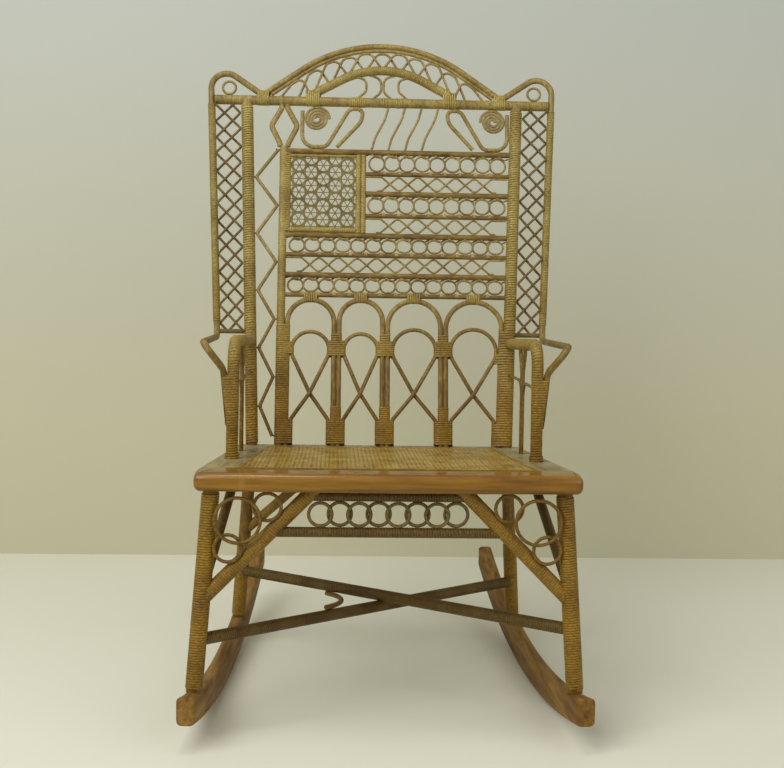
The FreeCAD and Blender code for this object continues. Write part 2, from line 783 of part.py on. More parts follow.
crestAngle = size("crest_angle")
steep = math.radians(crestAngle)
crestRod = size("crest_rod") / 2
earStart = wingTop - size("ear_run")
crestEnd = earStart - crestRod - wingRadius + size("ear_lap")
crestFoot = railLevel + railRadius + crestRod * math.cos(steep) + gap
straightRun = (size("crest_apex") - crestFoot) / math.tan(steep)
crestR = (crestEnd - straightRun) / (math.sin(steep) - (1 - math.cos(steep)) / math.tan(steep))
crestV = size("crest_apex") - crestR


def bowPoints(r, angle, centreV, rodRadius):
    """Corner points of a line-arc-line bow that stands on the top rail."""
    a = math.radians(angle)
    endV = railLevel + railRadius + rodRadius * math.cos(a) + gap
    arcX = r * math.sin(a)
    arcV = centreV + r * math.cos(a)
    endX = arcX + (arcV - endV) / math.tan(a)
    corners = arcCorners(0, centreV, r, 90 + angle, 90 - angle, 4)
    return [(-endX, endV)] + corners + [(endX, endV)], endX


bowCorners = bowPoints(crestR, crestAngle, crestV, crestRod)[0]
earLow = railLevel + railRadius + wingRadius * math.cos(steep) + gap
earTop = earLow + (wingTop - earStart) * math.tan(steep)
armPostRadius = size("arm_diameter") / 2
handX = armTop.x + size("hand_rod_reach")
handPoint = Vector(handX, armTop.y - size("hand_rod_lead"), size("arm_height") - size("hand_rod_drop"))
mergeZ = size("arm_height") - size("merge_drop")
mergePost = along(armFoot, armTop, mergeZ)
lowMerge = along(armFoot, armTop, mergeZ - size("scarf_length"))
beside = Vector(armPostRadius + wingRadius + gap, 0, 0)
wingTools = {}
for sign, hand in ((-1, "left"), (1, "right")):
    path = [
        onBack(sign * earStart, earLow),
        onBack(sign * wingX(earTop), earTop),
        onBack(sign * wingX(bendV), bendV),
        side(handPoint, sign),
        side(mergePost + beside, sign),
        side(lowMerge + beside, sign),
    ]
    bends = [0, size("ear_radius"), 24, 14, 30, 0]
    rod = bent(path, size("wing_rod"), bends)
    wingTool = bent(path, size("wing_rod") + 2 * gap, bends)
    wingTool.Placement = backPlace.inverse()
    wingTools[hand] = wingTool
    wide = armPostRadius + size("wing_rod") + 2 * gap
    scarf = [(mergePost.x + wide, mergePost.z), (lowMerge.x + armPostRadius + 1.5, lowMerge.z - 1),
             (lowMerge.x + 60, lowMerge.z - 1), (mergePost.x + 60, mergePost.z)]
    corners = [Vector(sign * x, mergePost.y - 30, z) for x, z in scarf]
    wedge = Part.Face(Part.makePolygon(corners + corners[:1])).extrude(Vector(0, 60, 0))
    feature("wing_rod_" + hand, rod.cut(wedge))

# top rail between the wing rods
railItem = cylinder("top_rail", Vector(-railX, 0, railLevel), Vector(railX, 0, railLevel),
                    "Sizes.top_rail_diameter / 2")
railItem.Placement = backPlace.multiply(railItem.Placement)
nodes["top_rail"] = railItem

# crest: bow with its under-rod, inner arch, lattice and curls
under = size("crest_under_rod")
underR = crestR - crestRod - under / 2 - gap
underCorners = bowPoints(underR, crestAngle, crestV, under / 2)[0]
feature("crest_bow", many([
    bent(flat(bowCorners), size("crest_rod"), 9999.0),
    bent(flat(underCorners), under, 9999.0),
]), backPlace)
archV = size("arch_apex") - size("arch_radius")
archHalf = size("arch_diameter") / 2
archCorners, archEnd = bowPoints(size("arch_radius"), size("arch_angle"), archV, archHalf)
feature("crest_arch", bent(flat(archCorners), size("arch_diameter"), 9999.0), backPlace)


def bowHeight(x, r, angle, centreV):
    a = math.radians(angle)
    x = abs(x)
    if x < r * math.sin(a):
        return centreV + math.sqrt(r * r - x * x), x / math.sqrt(r * r - x * x)
    return centreV + r * math.cos(a) - (x - r * math.sin(a)) * math.tan(a), math.tan(a)


def clearOf(rodRadius, w=layer, rod=thin):
    """In-plane distance at which a thin rod in its layer touches a rod of the middle plane."""
    return math.sqrt((rodRadius + rod / 2 + gap) ** 2 - w * w)


def crestLimit(x, upper):
    if upper:
        v, k = bowHeight(x, underR, crestAngle, crestV)
        return v - clearOf(under / 2) * math.sqrt(1 + k * k)
    floorV = railLevel + clearOf(railRadius)
    if abs(x) > archEnd:
        return floorV
    v, k = bowHeight(x, size("arch_radius"), size("arch_angle"), archV)
    return max(floorV, v + clearOf(archHalf) * math.sqrt(1 + k * k))


archTool = bent(flat(archCorners), size("arch_diameter") + 2 * gap, 9999.0)
pitch = size("crest_pitch")
shoulder = 0.3 * pitch
footReach = pitch - 0.85 * thin
loops = []
for k in range(-7, 8):
    x = k * pitch
    feet = [max(crestLimit(x + s * footReach, False), railLevel) - 4 for s in (-1, 1)]
    tops = [crestLimit(x + s * shoulder, True) for s in (-1, 1)]
    if min(tops) - max(feet) < 14:
        continue
    points = [(x - footReach, feet[0]), (x - shoulder, tops[0]),
              (x + shoulder, tops[1]), (x + footReach, feet[1])]
    rod = bent(flat(points, layer if k % 2 else -layer), thin, 13.0)
    loops.append(rod.cut(archTool).cut(railTool))
feature("crest_lattice", many(loops), backPlace)

curls = []
for sign in (-1, 1):
    for w, inner, bend in ((-layer, thin / 2 + gap, 15.0), (layer, 29.0, 12.0)):
        head = bowHeight(inner + bend, size("arch_radius"), size("arch_angle"), archV)[0] - archHalf
        points = [(sign * (inner + 24), railLevel), (sign * inner, railLevel + railRadius + 12),
                  (sign * inner, head - 6), (sign * (inner + 30), head + 4)]
        curls.append(bent(flat(points, w), thin, bend).cut(archTool).cut(railTool))
feature("crest_curls", many(curls), backPlace)

# ear rings
earReach = size("ear_radius") / math.tan((math.pi / 2 - steep) / 2)
earCrown = earTop - earReach + size("ear_radius") - wingRadius
earRingOuter = min(size("ear_ring_outer"), earCrown - railLevel - railRadius - 2 * gap - 0.2)
earX = wingX(earTop) - size("ear_radius")
earV = railLevel + railRadius + gap + earRingOuter / 2
left = ringShape(Vector(-earX, 0, earV), earRingOuter, thin)
feature("ear_rings", many([left, mirrored(left)]), backPlace)

# wing lattice: three zigzags side by side in depth, on a rod that closes the wing below
wingPitch = size("wing_pitch")
wingTuck = 0.3 * size("wing_bend")
wingStart = bendV + size("wing_foot_lift")
footRod = size("wing_foot_rod")
wingEnd = railLevel - railRadius
aboveRail = Part.makeBox(1000, 200, 400, Vector(-500, -100, railLevel))
belowWing = Part.makeBox(1000, 200, 400, Vector(-500, -100, wingStart - 400))
for sign, hand in ((-1, "left"), (1, "right")):
    low = Vector(sign * postX(wingStart), 0, wingStart)
    high = Vector(sign * wingX(wingStart), 0, wingStart)
    rods = [rodShape(low, high, footRod).cut(postTools[hand]).cut(wingTools[hand])]
    footTool = rodShape(low, high, footRod + 2 * gap)
    for k, w in ((0, thin + gap), (1, 0.0), (2, -thin - gap)):
        nearPost = clearOf(postOuter, w) - wingTuck
        nearWing = clearOf(wingRadius, w) - wingTuck
        points = []
        v = wingStart + (k - 3) * wingPitch
        inside = True
        while v < wingEnd + 1.5 * wingPitch:
            x = postX(v) + nearPost if inside else wingX(v) - nearWing
            points.append((sign * x, v))
            inside = not inside
            v += 1.5 * wingPitch
        rod = bent(flat(points, w), thin, size("wing_bend"))
        for cutter in (railTool, aboveRail, belowWing, footTool, wingTools[hand]):
            rod = rod.cut(cutter)
        rods.append(many([piece for piece in rod.Solids if piece.Volume > thin ** 3]))
    feature("wing_lattice_" + hand, many(rods), backPlace)

# panel stile, rails and canton border
stileX = size("stile_position")
stileR = size("stile_diameter") / 2
panelTop = size("panel_top")
bandR = size("panel_rail_diameter") / 2
slimR = size("panel_thin_rail") / 2
rows = ["loop_row_high", "wave_row", "loop_row_high", "wave_row", "loop_row_low", "wave_row", "loop_row_low"]
levels = [panelTop]
for alias in rows:
    levels.append(levels[-1] - size(alias))
stileTop = panelTop + bandR + 3
stile = rodShape(Vector(stileX, 0, -6), Vector(stileX, 0, stileTop), 2 * stileR).cut(seatLocal)
feature("panel_stile", stile, backPlace)
stileTool = rodShape(Vector(stileX, 0, -20), Vector(stileX, 0, stileTop + 20), 2 * (stileR + gap))
edgeRod = size("canton_edge_rod")
borderRod = size("canton_rod")
cantonLeft = stileX + stileR + gap
cantonRight = cantonLeft + edgeRod + gap + size("canton_width")
borderXs = [cantonRight + borderRod / 2 + gap, cantonRight + 1.5 * borderRod + 2 * gap]
rowStart = cantonRight + 2 * borderRod + 3 * gap
rails = []
for i, v in enumerate(levels):
    short = i in (1, 2, 3)
    startX = rowStart if short else stileX
    rail = rodShape(Vector(startX, 0, v), Vector(postX(v), 0, v), 2 * (slimR if i % 2 else bandR))
    rail = rail.cut(postTools["right"])
    if not short:
        rail = rail.cut(stileTool)
    rails.append(rail)
feature("panel_rails", many(rails), backPlace)
cantonTop = levels[0] - bandR - gap
cantonFloor = levels[4] + bandR + gap
borderRods = [rodShape(Vector(x, 0, cantonFloor), Vector(x, 0, cantonTop), borderRod) for x in borderXs]
borderRods.append(rodShape(Vector(cantonLeft + edgeRod / 2, 0, cantonFloor),
                           Vector(cantonLeft + edgeRod / 2, 0, cantonTop), edgeRod))
lowBorder = cantonFloor + borderRod / 2
highBorder = cantonTop - edgeRod / 2
for v, d in ((lowBorder, borderRod), (highBorder, edgeRod)):
    bar = rodShape(Vector(cantonLeft + edgeRod / 2, 0, v), Vector(borderXs[0], 0, v), d)
    for x, e in ((borderXs[0], borderRod), (cantonLeft + edgeRod / 2, edgeRod)):
        bar = bar.cut(rodShape(Vector(x, 0, v - 40), Vector(x, 0, v + 40), e + 2 * gap))
    borderRods.append(bar)
feature("canton_frame", many(borderRods), backPlace)

# caned square with staggered openings
sheetHalf = size("canton_sheet") / 2
left = cantonLeft + edgeRod + gap
right = cantonRight - gap
low = lowBorder + borderRod / 2 + gap
high = highBorder - edgeRod / 2 - gap
net = Part.makeBox(right - left, 2 * sheetHalf, high - low, Vector(left, -sheetHalf, low))
starPitch = size("star_pitch")
starStep = starPitch * math.cos(math.radians(30))
holeR = size("star_hole") / 2
edge = holeR + 1.0
columns = int((right - left) / starStep / 2) + 1
rowsHigh = int((high - low) / starPitch / 2) + 1
holes = []
for i in range(-columns, columns + 1):
    for j in range(-rowsHigh, rowsHigh + 1):
        starX = (left + right) / 2 + i * starStep
        starV = (low + high) / 2 + (j + 0.5 * (i % 2)) * starPitch
        for c in range(6):
            angle = math.radians(30 + 60 * c)
            x = starX + size("star_reach") * math.cos(angle)
            v = starV + size("star_reach") * math.sin(angle)
            if left + edge < x < right - edge and low + edge < v < high - edge:
                holes.append(Part.makeCylinder(holeR, 10, Vector(x, -5, v), Vector(0, 1, 0)))
feature("canton_caning", net.cut(Part.makeCompound(holes)), backPlace)

# rows of loops and of crossed waves between the rails
rowRod = size("row_rod")
rowLayer = (rowRod + gap) / 2
loopWide = size("loop_width")


def loopShape(x, v, w, high):
    """Closed loop: two half rounds and two short straight runs."""
    r = (high - rowRod) / 2
    run = max(loopWide - high, 0.2) / 2
    corners = [Vector(x + run, -w, v - r), Vector(x + run, -w, v + r),
               Vector(x - run, -w, v + r), Vector(x - run, -w, v - r)]
    edges = [Part.Arc(corners[0], Vector(x + run + r, -w, v), corners[1]).toShape(),
             Part.makeLine(corners[1], corners[2]),
             Part.Arc(corners[2], Vector(x - run - r, -w, v), corners[3]).toShape(),
             Part.makeLine(corners[3], corners[0])]
    return pipe(Part.Wire(edges), rowRod)


loopRows = []
for i in (0, 2, 4, 6):
    top = levels[i] - bandR - gap
    low = levels[i + 1] + slimR + gap
    v = (top + low) / 2
    startX = rowStart if i < 4 else stileX + stileR + gap
    endX = postX(v) - postOuter - gap
    step = size("loop_pitch")
    wide = max(loopWide, top - low)
    number = int((endX - startX - wide) / step) + 1
    first = (startX + endX) / 2 - step * (number - 1) / 2
    for k in range(number):
        loopRows.append(loopShape(first + k * step, v, rowLayer if k % 2 else -rowLayer, top - low))
feature("loop_rows", many(loopRows), backPlace)

waveRows = []
step = size("wave_pitch")
waveBend = size("wave_bend")
for i in (1, 3, 5):
    top = levels[i] - clearOf(slimR, rowLayer, rowRod)
    low = levels[i + 1] + clearOf(bandR, rowLayer, rowRod)
    v = (top + low) / 2
    swing = (top - low) / 2
    startX = rowStart if i < 4 else stileX + stileR + gap
    endX = postX(low) - postOuter - gap - 0.7
    crossings = int((endX - startX - 1.8 * step) / step) + 1
    first = (startX + endX) / 2 - step * (crossings - 1) / 2
    last = first + step * (crossings - 1)
    rise = swing
    for _ in range(40):
        rise = swing + waveBend * (math.hypot(1, 2 * rise / step) - 1)
    turnRun = step / 2 * swing / rise
    for phase, w in ((1, rowLayer), (-1, -rowLayer)):
        endPhase = phase * (-1) ** crossings
        points = [(startX if phase > 0 else first - turnRun - 8, v + phase * swing)]
        points.append((first - turnRun, v + phase * swing))
        for k in range(crossings - 1):
            points.append((first + (k + 0.5) * step, v - phase * (-1) ** k * rise))
        points.append((last + turnRun, v + endPhase * swing))
        points.append((endX if endPhase > 0 else last + turnRun + 8, v + endPhase * swing))
        waveRows.append(bent(flat(points, w), rowRod, waveBend))
feature("wave_rows", many(waveRows), backPlace)

# zigzag rod between left post and stile
zigRadius = size("zigzag_rod") / 2
zigPitch = size("zigzag_pitch")
zigTop = panelTop + 2
thickBind = size("binding_thickness")
bindTop = size("binding_top")
points = []
k = 0
v = zigTop
while v > 12:
    near = stileX - stileR - zigRadius - gap - (thickBind if v < bindTop + zigPitch / 2 else 0)
    far = -postX(v) + postOuter + zigRadius + gap
    points.append((near if k % 2 == 0 else far, v))
    v -= zigPitch
    k += 1
feature("zigzag_rod", bent(flat(points), size("zigzag_rod"), 5.0), backPlace)

# band under the top rail: diamond, coils, scrolls, slanted strands
diaR = size("diamond_rod") / 2
diaWide = size("diamond_half_width")
diaMid = (stileTop + railLevel - railRadius) / 2
apart = diaR + gap / 2
feet = slab([(-400, -60), (400, -60), (400, 60), (-400, 60)], stileTop - 60, stileTop + 0.05)
diamonds = []
for sign in (-1, 1):
    points = [(stileX + sign * (apart + 2), stileTop - 6), (stileX + sign * (apart + 2), stileTop + 5),
              (stileX + sign * diaWide, diaMid), (stileX + sign * apart, railLevel - railRadius - 5),
              (stileX + sign * apart, railLevel - 2)]
    diamonds.append(bent(flat(points), size("diamond_rod"), 12.0).cut(feet).cut(railTool))
feature("diamond_rods", many(diamonds), backPlace)

scrollR = size("scroll_rod") / 2
scrollLeft = stileX + diaWide + diaR + scrollR
scrollRight = postX(railLevel - 55) - postOuter - scrollR - 0.5
scrollMid = (scrollLeft + scrollRight) / 2
bandTop = railLevel - railRadius - gap - scrollR
bandLow = panelTop + bandR + gap + scrollR
coilRod = size("coil_rod")
coilPitch = coilRod + size("coil_gap")


def coilWire(x, v, hand):
    """Flat spiral of half turns, each a little wider than the one before."""
    r = coilRod * 1.05
    edges = []
    centre = x
    up = True
    halfTurns = int(2 * size("coil_turns"))
    for _ in range(halfTurns):
        start = Vector(centre - r if up else centre + r, 0, v)
        end = Vector(centre + r if up else centre - r, 0, v)
        top = Vector(centre, 0, v + r if up else v - r)
        edges.append(Part.Arc(start, top, end).toShape())
        centre = centre - coilPitch / 2 if up else centre + coilPitch / 2
        r += coilPitch / 2
        up = not up
    wire = Part.Wire(edges)
    if hand < 0:
        wire = wire.mirror(Vector(x, 0, 0), Vector(1, 0, 0))
    return wire


def leastGap(wire, rod):
    """Least clear distance between neighbouring turns, from points along the wire."""
    points = wire.discretize(Distance=0.8)
    least = 1e9
    skip = int(3.2 * rod / 0.8)
    for i in range(0, len(points), 2):
        for j in range(i + skip, len(points), 2):
            least = min(least, (points[i] - points[j]).Length)
    return least - rod


trial = coilWire(0, 0, 1)
coilTopReach = trial.BoundBox.ZMax + coilRod / 2
coilWide = max(trial.BoundBox.XMax, -trial.BoundBox.XMin) + coilRod / 2
coilV = railLevel - railRadius - gap - coilTopReach
coils = []
for hand, x in ((-1, scrollLeft + scrollR + coilWide + gap), (1, scrollRight - scrollR - coilWide - gap)):
    wire = coilWire(x, coilV, -hand)
    print("coil least gap %.2f mm" % leastGap(wire, coilRod))
    coils.append(pipe(wire, coilRod))
feature("scroll_coils", many(coils), backPlace)

reachDown = bandTop - bandLow
legRun = 0.57 * reachDown
scrollFoot = scrollLeft + 0.60 * reachDown
scrollPath = [
    (scrollLeft, bandTop - 6),
    (scrollLeft, bandLow),
    (scrollFoot, bandLow),
    (scrollFoot + legRun, bandTop),
    (scrollFoot + legRun + 25, bandTop),
    (scrollFoot + legRun + 21, bandTop - 24),
    (scrollFoot + 19, bandLow + 0.3),
]
scrollRadii = [0, 34, 16, 14, 13, 28, 0]
leftScroll = bent(flat(scrollPath), size("scroll_rod"), scrollRadii)
rightScroll = bent(flat([(2 * scrollMid - x, v) for x, v in scrollPath]), size("scroll_rod"), scrollRadii)
feature("scroll_rods", many([leftScroll, rightScroll]), backPlace)
strands = []
panelTopTool = rodShape(Vector(-400, 0, panelTop), Vector(400, 0, panelTop), 2 * (bandR + gap))
strandTop = railLevel - railRadius
strandLow = panelTop + bandR
step = size("strand_step")
for k in range(4):
    x = scrollMid + (k - 1.5) * step
    points = [(x + 16.5, strandTop + 6), (x + 9, strandTop - 22),
              (x - 9, strandLow + 22), (x - 16.5, strandLow - 6)]
    strands.append(bent(flat(points), thin, 40.0).cut(railTool).cut(panelTopTool))
feature("slanted_strands", many(strands), backPlace)

# arcade: four arches, their ribbon loops and the bindings of the paired legs
archRod = size("arch_rod") / 2
bayLeft = stileX + stileR + gap
bayRight = postX(0) - postRadius - gap
shares = [size("first_bay"), size("second_bay"), size("third_bay")]
bays = [bayLeft]
for share in shares:
    bays.append(bays[-1] + share * (bayRight - bayLeft))
bays.append(bayRight)
crown = levels[7] - slimR - gap - archRod
springing = crown - (bays[4] - bays[3]) / 2
lean = (postX(railLevel) - postX(0)) / railLevel
ribbonR = size("ribbon_rod") / 2
level = size("ribbon_level")
crossV = size("ribbon_cross")
footV = size("ribbon_foot")
arches = []
ribbons = []
for i in range(4):
    leftLeg = bays[i] + archRod + gap / 2
    rightLeg = bays[i + 1] - archRod - gap / 2
    tilt = lean if i == 3 else 0.0
    wide = (rightLeg + tilt * springing - leftLeg) / 2
    c = leftLeg + wide
    points = [(leftLeg, -6)] + arcCorners(c, crown - wide, wide, 180, 0, 4)
    if tilt:
        points.append((rightLeg + tilt * (springing - 10), springing - 10))
    points.append((rightLeg - tilt * 6, -6))
    arches.append(bent(flat(points), 2 * archRod, 9999.0).cut(seatLocal))
    beside = archRod + ribbonR + gap
    r = (rightLeg + tilt * level - leftLeg) / 2 - beside
    c = leftLeg + beside + r
    w = ribbonR + gap / 2
    footLeft = leftLeg + beside
    footRight = rightLeg - beside
    path = [(footLeft, 0, 5), (footLeft, 0, footV), (c, -w, crossV)]
    path += [(x, 0, v) for x, v in arcCorners(c, level, r, -24, 204, 6)]
    path += [(c, w, crossV), (footRight + tilt * footV, 0, footV), (footRight + tilt * 5, 0, 5)]
    bends = [0, 14, 60] + [9999.0] * 6 + [60, 14, 0]
    ribbons.append(bent(path, size("ribbon_rod"), bends))
feature("arcade_arches", many(arches), backPlace)
feature("arcade_ribbons", many(ribbons), backPlace)


def hullFace(x1, r1, x2, r2, v):
    """Face of the band stretched round two circles of one level."""
    facing = math.acos((r1 - r2) / (x2 - x1))
    points = [Vector(x + r * math.cos(facing), face * r * math.sin(facing), v)
              for x, r, face in ((x1, r1, 1), (x2, r2, 1), (x2, r2, -1), (x1, r1, -1))]
    arcs = [
        Part.makeLine(points[0], points[1]),
        Part.Arc(points[1], Vector(x2 + r2, 0, v), points[2]).toShape(),
        Part.makeLine(points[2], points[3]),
        Part.Arc(points[3], Vector(x1 - r1, 0, v), points[0]).toShape(),
    ]
    return Part.Face(Part.Wire(arcs))


def binding(x1, r1, x2, r2, low, high, tilt=0.0):
    """Shell wound round two rods from low to high."""
    rise = Vector(tilt * (high - low), 0, high - low)
    shift = tilt * low
    outer = hullFace(x1 + shift, r1 + thickBind, x2 + shift, r2 + thickBind, low).extrude(rise)
    inner = hullFace(x1 + shift, r1 + gap, x2 + shift, r2 + gap, low).extrude(rise)
    return outer.cut(inner)


slack = 1.2
wideLow = level - 7.0
wideHigh = level + 7.0
pairX = archRod + gap / 2
ribbonX = pairX + archRod + gap + ribbonR
bindings = []
for i in range(1, 4):
    x = bays[i]
    grip = ribbonX - (archRod - ribbonR)
    bindings.append(binding(x - grip - slack, archRod, x + grip + slack, archRod, wideLow, wideHigh))
    bindings.append(binding(x - pairX, archRod, x + pairX, archRod, wideHigh + 6, wideHigh + 18))
    bindings.append(binding(x - grip, archRod, x + grip, archRod, 3.0, footV - 3))
    bindings.append(binding(x - pairX, archRod, x + pairX, archRod, footV + 6, footV + 24))
outerLeg = bayLeft + archRod + gap / 2
outerRibbon = outerLeg + archRod + gap + ribbonR
for low, high, x in ((3.0, footV - 3, outerRibbon), (footV + 6, wideLow - 1.2, outerLeg),
                     (wideLow, wideHigh, outerRibbon), (wideHigh + 10, bindTop, outerLeg)):
    reach = ribbonR + slack if x == outerRibbon else archRod
    bindings.append(binding(stileX, stileR, x, reach, low, high))
outerLeg = bayRight - archRod - gap / 2
outerRibbon = outerLeg - archRod - gap - ribbonR
for low, high, x in ((3.0, footV - 3, outerRibbon), (footV + 6, wideLow - 1.2, outerLeg),
                     (wideLow, wideHigh, outerRibbon), (wideHigh + 10, springing - 11, outerLeg)):
    reach = ribbonR + slack if x == outerRibbon else archRod
    bindings.append(binding(x, reach, postX(0), postRadius, low, high, lean))
feature("stile_bindings", many(bindings), backPlace)
bindReach = slack + thickBind + gap
bindSpace = hullFace(outerRibbon, ribbonR + bindReach, postX(0), postRadius + thickBind + gap, 0)
bindSpace = bindSpace.extrude(Vector(lean * bindTop, 0, bindTop))
bindSpace.Placement = backPlace

# arms: wound post and arm roll in one bend, with a tenon in the seat
ties = []
for sign, hand in ((-1, "left"), (1, "right")):
    rearV = (size("arm_height") - 17 - backFoot.z) / math.cos(math.radians(size("back_recline")))
    rearPoint = onBack(sign * postX(rearV), rearV)
    foot = side(armFoot, sign)
    top = side(armTop, sign)
    heading = (top - foot).normalize()
    roll = bent([foot - heading * 8, top, rearPoint], size("arm_diameter"), size("arm_bend"))
    seatWorld = slab([(-500, -200), (500, -200), (500, 900), (-500, 900)], -80, 0.05)
    seatWorld.Placement = seatPlace
    postWorld = postTools[hand].copy()
    postWorld.Placement = backPlace.multiply(postWorld.Placement)
    roll = roll.cut(seatWorld).cut(postWorld)
    if sign > 0:
        roll = roll.cut(bindSpace)
    tenon = rodShape(foot - heading * 15, foot + heading * 12, size("arm_tenon_diameter"))
    feature("arm_" + hand, roll.fuse(tenon).removeSplitter())

    # spindle of two rods that part under the arm
    spinFoot = onSeat(sign * (armFoot.x - 5), size("spindle_setback"), 0)
    t = (spinFoot.y - top.y) / (rearPoint.y - top.y)
    armHere = top + (rearPoint - top) * t
    rollTool = rodShape(top, rearPoint, size("arm_diameter") + 2 * gap)
    spinR = size("spindle_rod") / 2
    rods = []
    for toward in (-1, 1):
        lean = Vector(0, toward * (spinR + gap / 2), 0)
        fork = Vector(0, toward * size("fork_spread"), 0)
        neck = spinFoot + (armHere - spinFoot) * 0.74
        points = [spinFoot + lean - Vector(0, 0, 6), neck + lean,
                  armHere + fork - Vector(0, 0, 12), armHere + fork]
        rods.append(bent(points, size("spindle_rod"), 24.0).cut(seatWorld).cut(rollTool))
    feature("arm_spindle_" + hand, many(rods))

    # curved ties from spindle to arm post and to back post
    tieR = size("tie_rod") / 2
    low = spinFoot + (armHere - spinFoot) * 0.44
    for toward, target in ((-1, "arm"), (1, "post")):
        start = low + Vector(0, toward * (2 * spinR + gap / 2 + gap + tieR), 0)
        if target == "arm":
            end = along(foot, top, start.z + 40)
            blocker = rodShape(foot, top, size("arm_diameter") + 2 * gap)
        else:
            backV = (start.z + 40 - backFoot.z) / math.cos(math.radians(size("back_recline")))
            end = onBack(sign * postX(backV), backV)
            blocker = postWorld
        elbow = Vector(start.x, start.y, end.z)
        ties.append(bent([start - Vector(0, 0, 12), elbow, end], size("tie_rod"), 30.0).cut(blocker))
feature("arm_ties", many(ties))

doc.recompute()
faults = [item.Label for item in doc.Objects if "Invalid" in item.State or "Error" in item.State]
for name, item in nodes.items():
    if not item.Shape.isValid() or not item.Shape.Solids:
        faults.append(item.Label)
if faults:
    raise ValueError("not sound: " + ", ".join(sorted(faults)))
moment = Vector(0, 0, 0)
volume = 0.0
for name, item in sorted(nodes.items()):
    for solid in item.Shape.Solids:
        moment += solid.CenterOfMass * solid.Volume
        volume += solid.Volume
    item.Shape.exportStep(os.path.join("parts", item.Label + ".step"))
centre = moment / volume
print("%d nodes, volume %.0f mm3, centre of mass y %.1f z %.1f, rest point y %.1f"
      % (len(nodes), volume, centre.y, centre.z, restY))
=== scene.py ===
import math

import bpy
import numpy as np
from mathutils import Matrix, Vector


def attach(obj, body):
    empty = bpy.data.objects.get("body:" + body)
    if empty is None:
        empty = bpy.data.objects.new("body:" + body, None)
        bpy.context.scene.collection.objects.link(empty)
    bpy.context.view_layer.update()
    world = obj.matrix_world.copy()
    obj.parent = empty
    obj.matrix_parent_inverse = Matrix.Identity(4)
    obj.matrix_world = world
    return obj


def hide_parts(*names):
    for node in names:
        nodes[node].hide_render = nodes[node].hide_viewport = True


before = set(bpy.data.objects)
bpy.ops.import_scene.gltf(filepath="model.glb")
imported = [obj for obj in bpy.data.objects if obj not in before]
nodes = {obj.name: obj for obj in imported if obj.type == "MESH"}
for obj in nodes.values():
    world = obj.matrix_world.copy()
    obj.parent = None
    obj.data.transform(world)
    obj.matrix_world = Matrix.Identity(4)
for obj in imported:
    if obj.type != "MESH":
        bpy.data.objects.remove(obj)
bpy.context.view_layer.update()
print("frame loaded,", len(nodes), "nodes")

# where seat, back, arms and wings stand, in metres and degrees
chair = {
    "seatFront": -0.370,
    "seatHeight": 0.3913,
    "seatSlope": 3.15,
    "backSetback": 0.445,
    "recline": 13.9,
    "railLevel": 0.623,
    "postFoot": 0.221,
    "postHead": 0.2433,
    "stile": -0.1755,
    "armSetback": 0.204,
    "armHalf": 0.237,
    "armHeight": 0.563,
    "wingFoot": 0.286,
    "wingTop": 0.307,
}
seatPlace = Matrix.Translation((0, chair["seatFront"], chair["seatHeight"]))
seatPlace = seatPlace @ Matrix.Rotation(math.radians(-chair["seatSlope"]), 4, "X")
backFoot = seatPlace @ Vector((0, chair["backSetback"], 0))
backPlace = Matrix.Translation(backFoot) @ Matrix.Rotation(math.radians(-chair["recline"]), 4, "X")


def onSeat(x, y, z=0.0):
    return seatPlace @ Vector((x, y, z))


def onBack(x, v, w=0.0):  # v up along the posts, w towards the sitter
    return backPlace @ Vector((x, -w, v))


def postX(v):
    return chair["postFoot"] + postLean * v


def levelOnBack(z):  # height above the floor turned into v
    return (z - backFoot.z) / math.cos(math.radians(chair["recline"]))


across = Vector((1, 0, 0))
backUp = backPlace.to_3x3() @ Vector((0, 0, 1))
postLean = (chair["postHead"] - chair["postFoot"]) / chair["railLevel"]


def tone(red, green, blue):  # colour as read off a screen, made linear
    parts = []
    for c in (red, green, blue):
        c = c / 255
        parts.append(c / 12.92 if c < 0.04045 else ((c + 0.055) / 1.055) ** 2.4)
    return (*parts, 1.0)


# shader building blocks
def startFinish(name):
    finish = bpy.data.materials.new(name)
    finish.use_nodes = True
    tree = finish.node_tree
    coords = tree.nodes.new("ShaderNodeTexCoord")
    return finish, tree, tree.nodes["Principled BSDF"], coords.outputs["Object"]


def addNoise(tree, where, scale, detail=4.0, stretch=(1, 1, 1), rough=0.55):
    mapping = tree.nodes.new("ShaderNodeMapping")
    mapping.inputs["Scale"].default_value = stretch
    noise = tree.nodes.new("ShaderNodeTexNoise")
    noise.inputs["Scale"].default_value = scale
    noise.inputs["Detail"].default_value = detail
    noise.inputs["Roughness"].default_value = rough
    tree.links.new(where, mapping.inputs["Vector"])
    tree.links.new(mapping.outputs["Vector"], noise.inputs["Vector"])
    return noise.outputs["Fac"]


def addRamp(tree, fac, stops):
    ramp = tree.nodes.new("ShaderNodeValToRGB")
    while len(ramp.color_ramp.elements) < len(stops):
        ramp.color_ramp.elements.new(0.5)
    for element, (at, colour) in zip(ramp.color_ramp.elements, stops):
        element.position = at
        element.color = colour
    tree.links.new(fac, ramp.inputs["Fac"])
    return ramp.outputs["Color"]


def addMix(tree, fac, first, second, how="MIX"):
    mix = tree.nodes.new("ShaderNodeMix")
    mix.data_type = "RGBA"
    mix.blend_type = how
    for socket, value in ((mix.inputs[0], fac), (mix.inputs[6], first), (mix.inputs[7], second)):
        if isinstance(value, bpy.types.NodeSocket):
            tree.links.new(value, socket)
        else:
            socket.default_value = value
    return mix.outputs[2]


